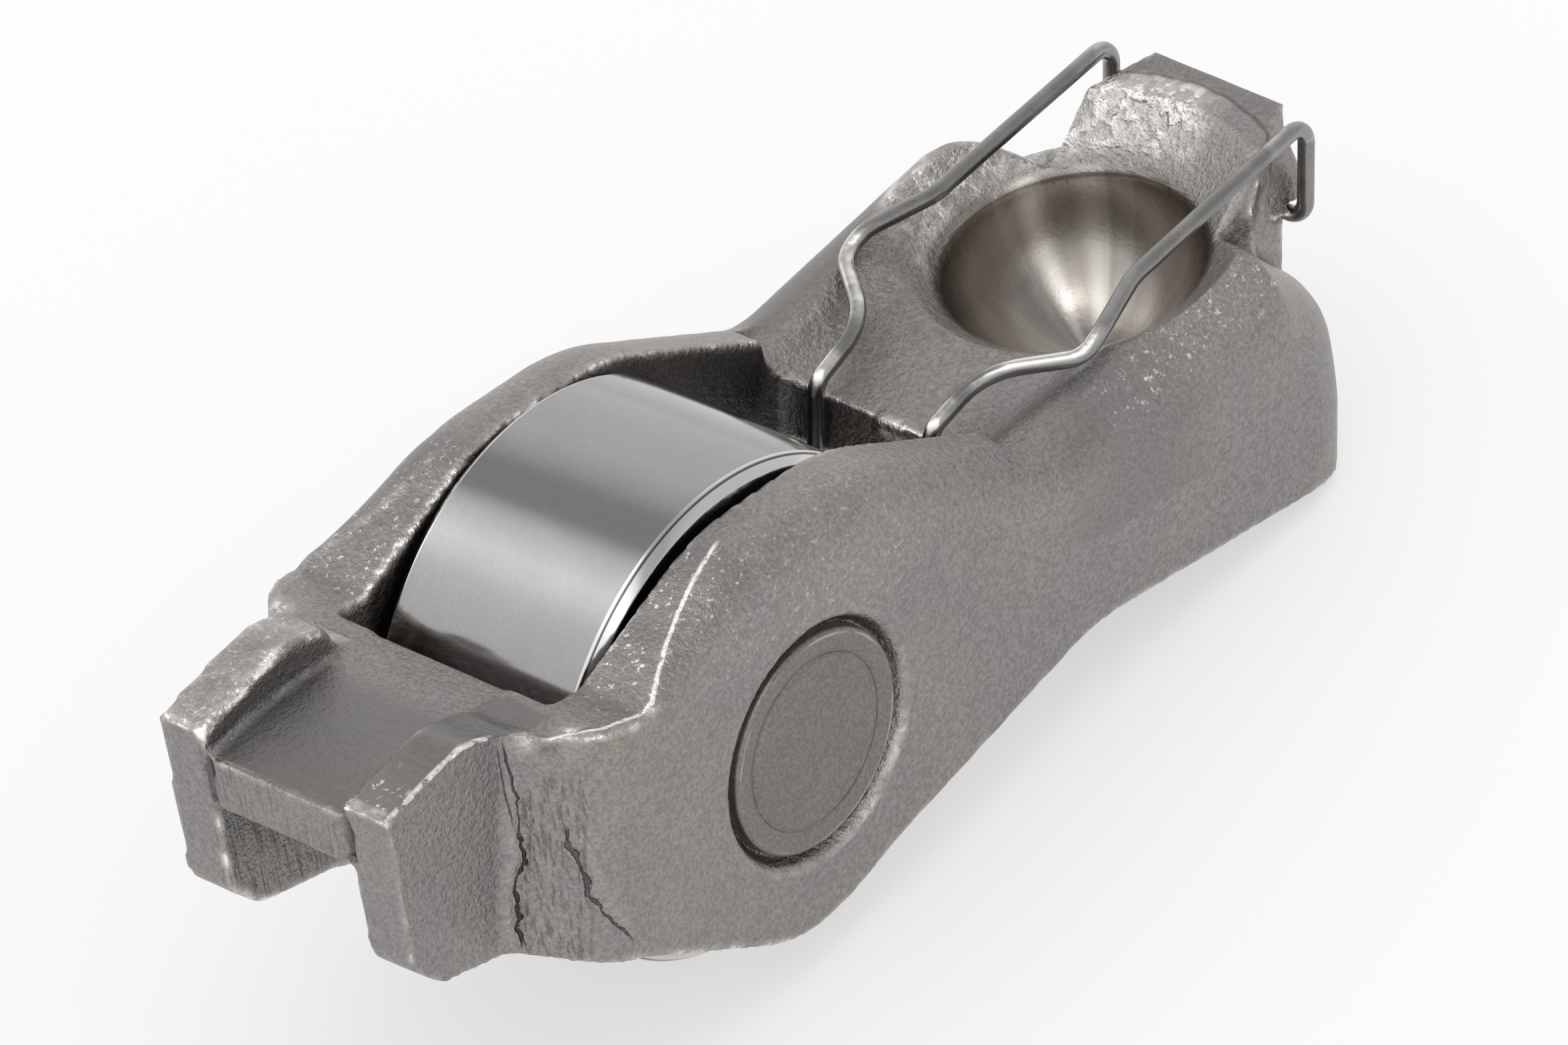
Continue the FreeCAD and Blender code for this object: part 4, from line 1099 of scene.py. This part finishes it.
class ROCKER_OT_stage(bpy.types.Operator):
    """Builds the pale floor, the soft studio light and the camera"""
    bl_idname = "rocker.stage"
    bl_label = "Stage"

    def execute(self, context):
        settings = context.scene.rocker_stage
        self.floor(settings)
        self.world(context.scene)
        self.lamp("soft box", arm_direction(-0.35, -0.3, 0.88), 1.1, (0.3, 0.3), 2.5)
        self.camera(context.scene, settings)
        context.scene.view_settings.view_transform = "Standard"
        return {"FINISHED"}

    def floor(self, settings):
        """A wide floor that looks white and keeps part of the object's shadow."""
        mesh = bpy.data.meshes.new("floor")
        reach = 3.0
        corners = [(-reach, -reach, 0), (reach, -reach, 0), (reach, reach, 0), (-reach, reach, 0)]
        mesh.from_pydata(corners, [], [(0, 1, 2, 3)])
        floor = link(bpy.data.objects.new("pale_floor", mesh))
        material, shader = new_material("pale floor")
        path = shader.node("ShaderNodeLightPath")
        seen = path["Is Camera Ray"].most(path["Is Glossy Ray"]).most(path["Is Transmission Ray"])
        board = shader.node("ShaderNodeBsdfDiffuse", {}, {"Color": FLOOR_GREY}).socket("BSDF")
        white = shader.node("ShaderNodeEmission", {}, {"Color": WHITE}).socket("Emission")
        mixed = shader.mix_shaders(seen * (1.0 - settings.shadow), board, white)
        shader.node("ShaderNodeOutputMaterial", {}, {"Surface": mixed})
        mesh.materials.append(material)

    def world(self, scene):
        """White to the camera; metal sees it shaped as a studio, with a long soft box and a gap overhead."""
        world = bpy.data.worlds.new("studio")
        world.use_nodes = True
        scene.world = world
        shader = Shader(world.node_tree)
        path = shader.node("ShaderNodeLightPath")
        way = shader.node("ShaderNodeTexCoord").socket("Generated")
        along, across, upward = shader.along_arm(way)
        front = (1.0 - across.ramp(-0.6, 0.45)) * along.ramp(-0.1, 0.35)
        turn = along.angle(upward) / math.tau + 0.5
        stops = [(0.5 + degrees / 360, level / STUDIO_PEAK) for degrees, level in STUDIO]
        studio = shader.node("ShaderNodeValToRGB", {"stops": stops}, {"Fac": turn}).socket("Color")
        seen = path["Is Glossy Ray"].most(path["Is Transmission Ray"])
        white = shader.node("ShaderNodeBackground", {}, {"Color": WHITE}).socket("Background")
        strength = STUDIO_PEAK - front * 0.7
        shaped = shader.node("ShaderNodeBackground", {}, {"Color": studio, "Strength": strength})
        light = shader.mix_shaders(seen, white, shaped.socket("Background"))
        light = shader.mix_shaders(path["Is Camera Ray"], light, white)
        shader.node("ShaderNodeOutputWorld", {}, {"Surface": light})

    def lamp(self, name, way, distance, size, radiance):
        """An area lamp of a given brightness, looking at the object from a direction."""
        data = bpy.data.lights.new(name, "AREA")
        data.shape = "RECTANGLE"
        data.size, data.size_y = size
        data.energy = radiance * math.pi * size[0] * size[1]
        lamp = link(bpy.data.objects.new(name, data))
        lamp.location = AXLE + way * distance
        lamp.rotation_mode = "QUATERNION"
        lamp.rotation_quaternion = way.to_track_quat("Z", "Y")

    def camera(self, scene, settings):
        """The photograph's viewpoint, one metre from the axle, a little rolled as it is there."""
        back = CAMERA_BACK.normalized()
        up = back.cross(CAMERA_RIGHT.normalized()).normalized()
        right = up.cross(back)
        data = bpy.data.cameras.new("camera")
        data.sensor_width = SENSOR
        data.lens = settings.focal
        data.clip_start, data.clip_end = 0.1, 20.0
        camera = link(bpy.data.objects.new("camera", data))
        place = AXLE + back * CAMERA_PLACE[2] + right * CAMERA_PLACE[0] + up * CAMERA_PLACE[1]
        camera.matrix_world = Matrix.Translation(place) @ Matrix((right, up, back)).transposed().to_4x4()
        scene.camera = camera


class ROCKER_PT_panel(bpy.types.Panel):
    """Lists the pieces in the 3D view's sidebar"""
    bl_idname = "ROCKER_PT_panel"
    bl_label = "Rocker arm"
    bl_space_type = "VIEW_3D"
    bl_region_type = "UI"
    bl_category = "Rocker arm"

    def draw(self, context):
        for operator in OPERATORS:
            self.layout.operator(operator.bl_idname)
        for name, group in GROUPS.items():
            for key in group.__annotations__:
                self.layout.prop(getattr(context.scene, name), key)


GROUPS = {"rocker_arm": ArmSettings, "rocker_roller": RollerSettings, "rocker_wire": WireSettings,
          "rocker_stage": StageSettings}
OPERATORS = (ROCKER_OT_stage, ROCKER_OT_arm_body, ROCKER_OT_axle_pin, ROCKER_OT_roller, ROCKER_OT_needles,
             ROCKER_OT_wire_clip)


def register():
    for name, group in GROUPS.items():
        bpy.utils.register_class(group)
        setattr(bpy.types.Scene, name, bpy.props.PointerProperty(type=group))
    for item in (*OPERATORS, ROCKER_PT_panel):
        bpy.utils.register_class(item)


def unregister():
    for item in reversed((*OPERATORS, ROCKER_PT_panel)):
        bpy.utils.unregister_class(item)
    for name, group in GROUPS.items():
        delattr(bpy.types.Scene, name)
        bpy.utils.unregister_class(group)


def main():
    register()
    bpy.ops.rocker.stage()
    bpy.ops.rocker.arm_body()
    bpy.ops.rocker.axle_pin()
    bpy.ops.rocker.roller()
    bpy.ops.rocker.needles()
    bpy.ops.rocker.wire_clip()


if __name__ == "__main__":
    main()
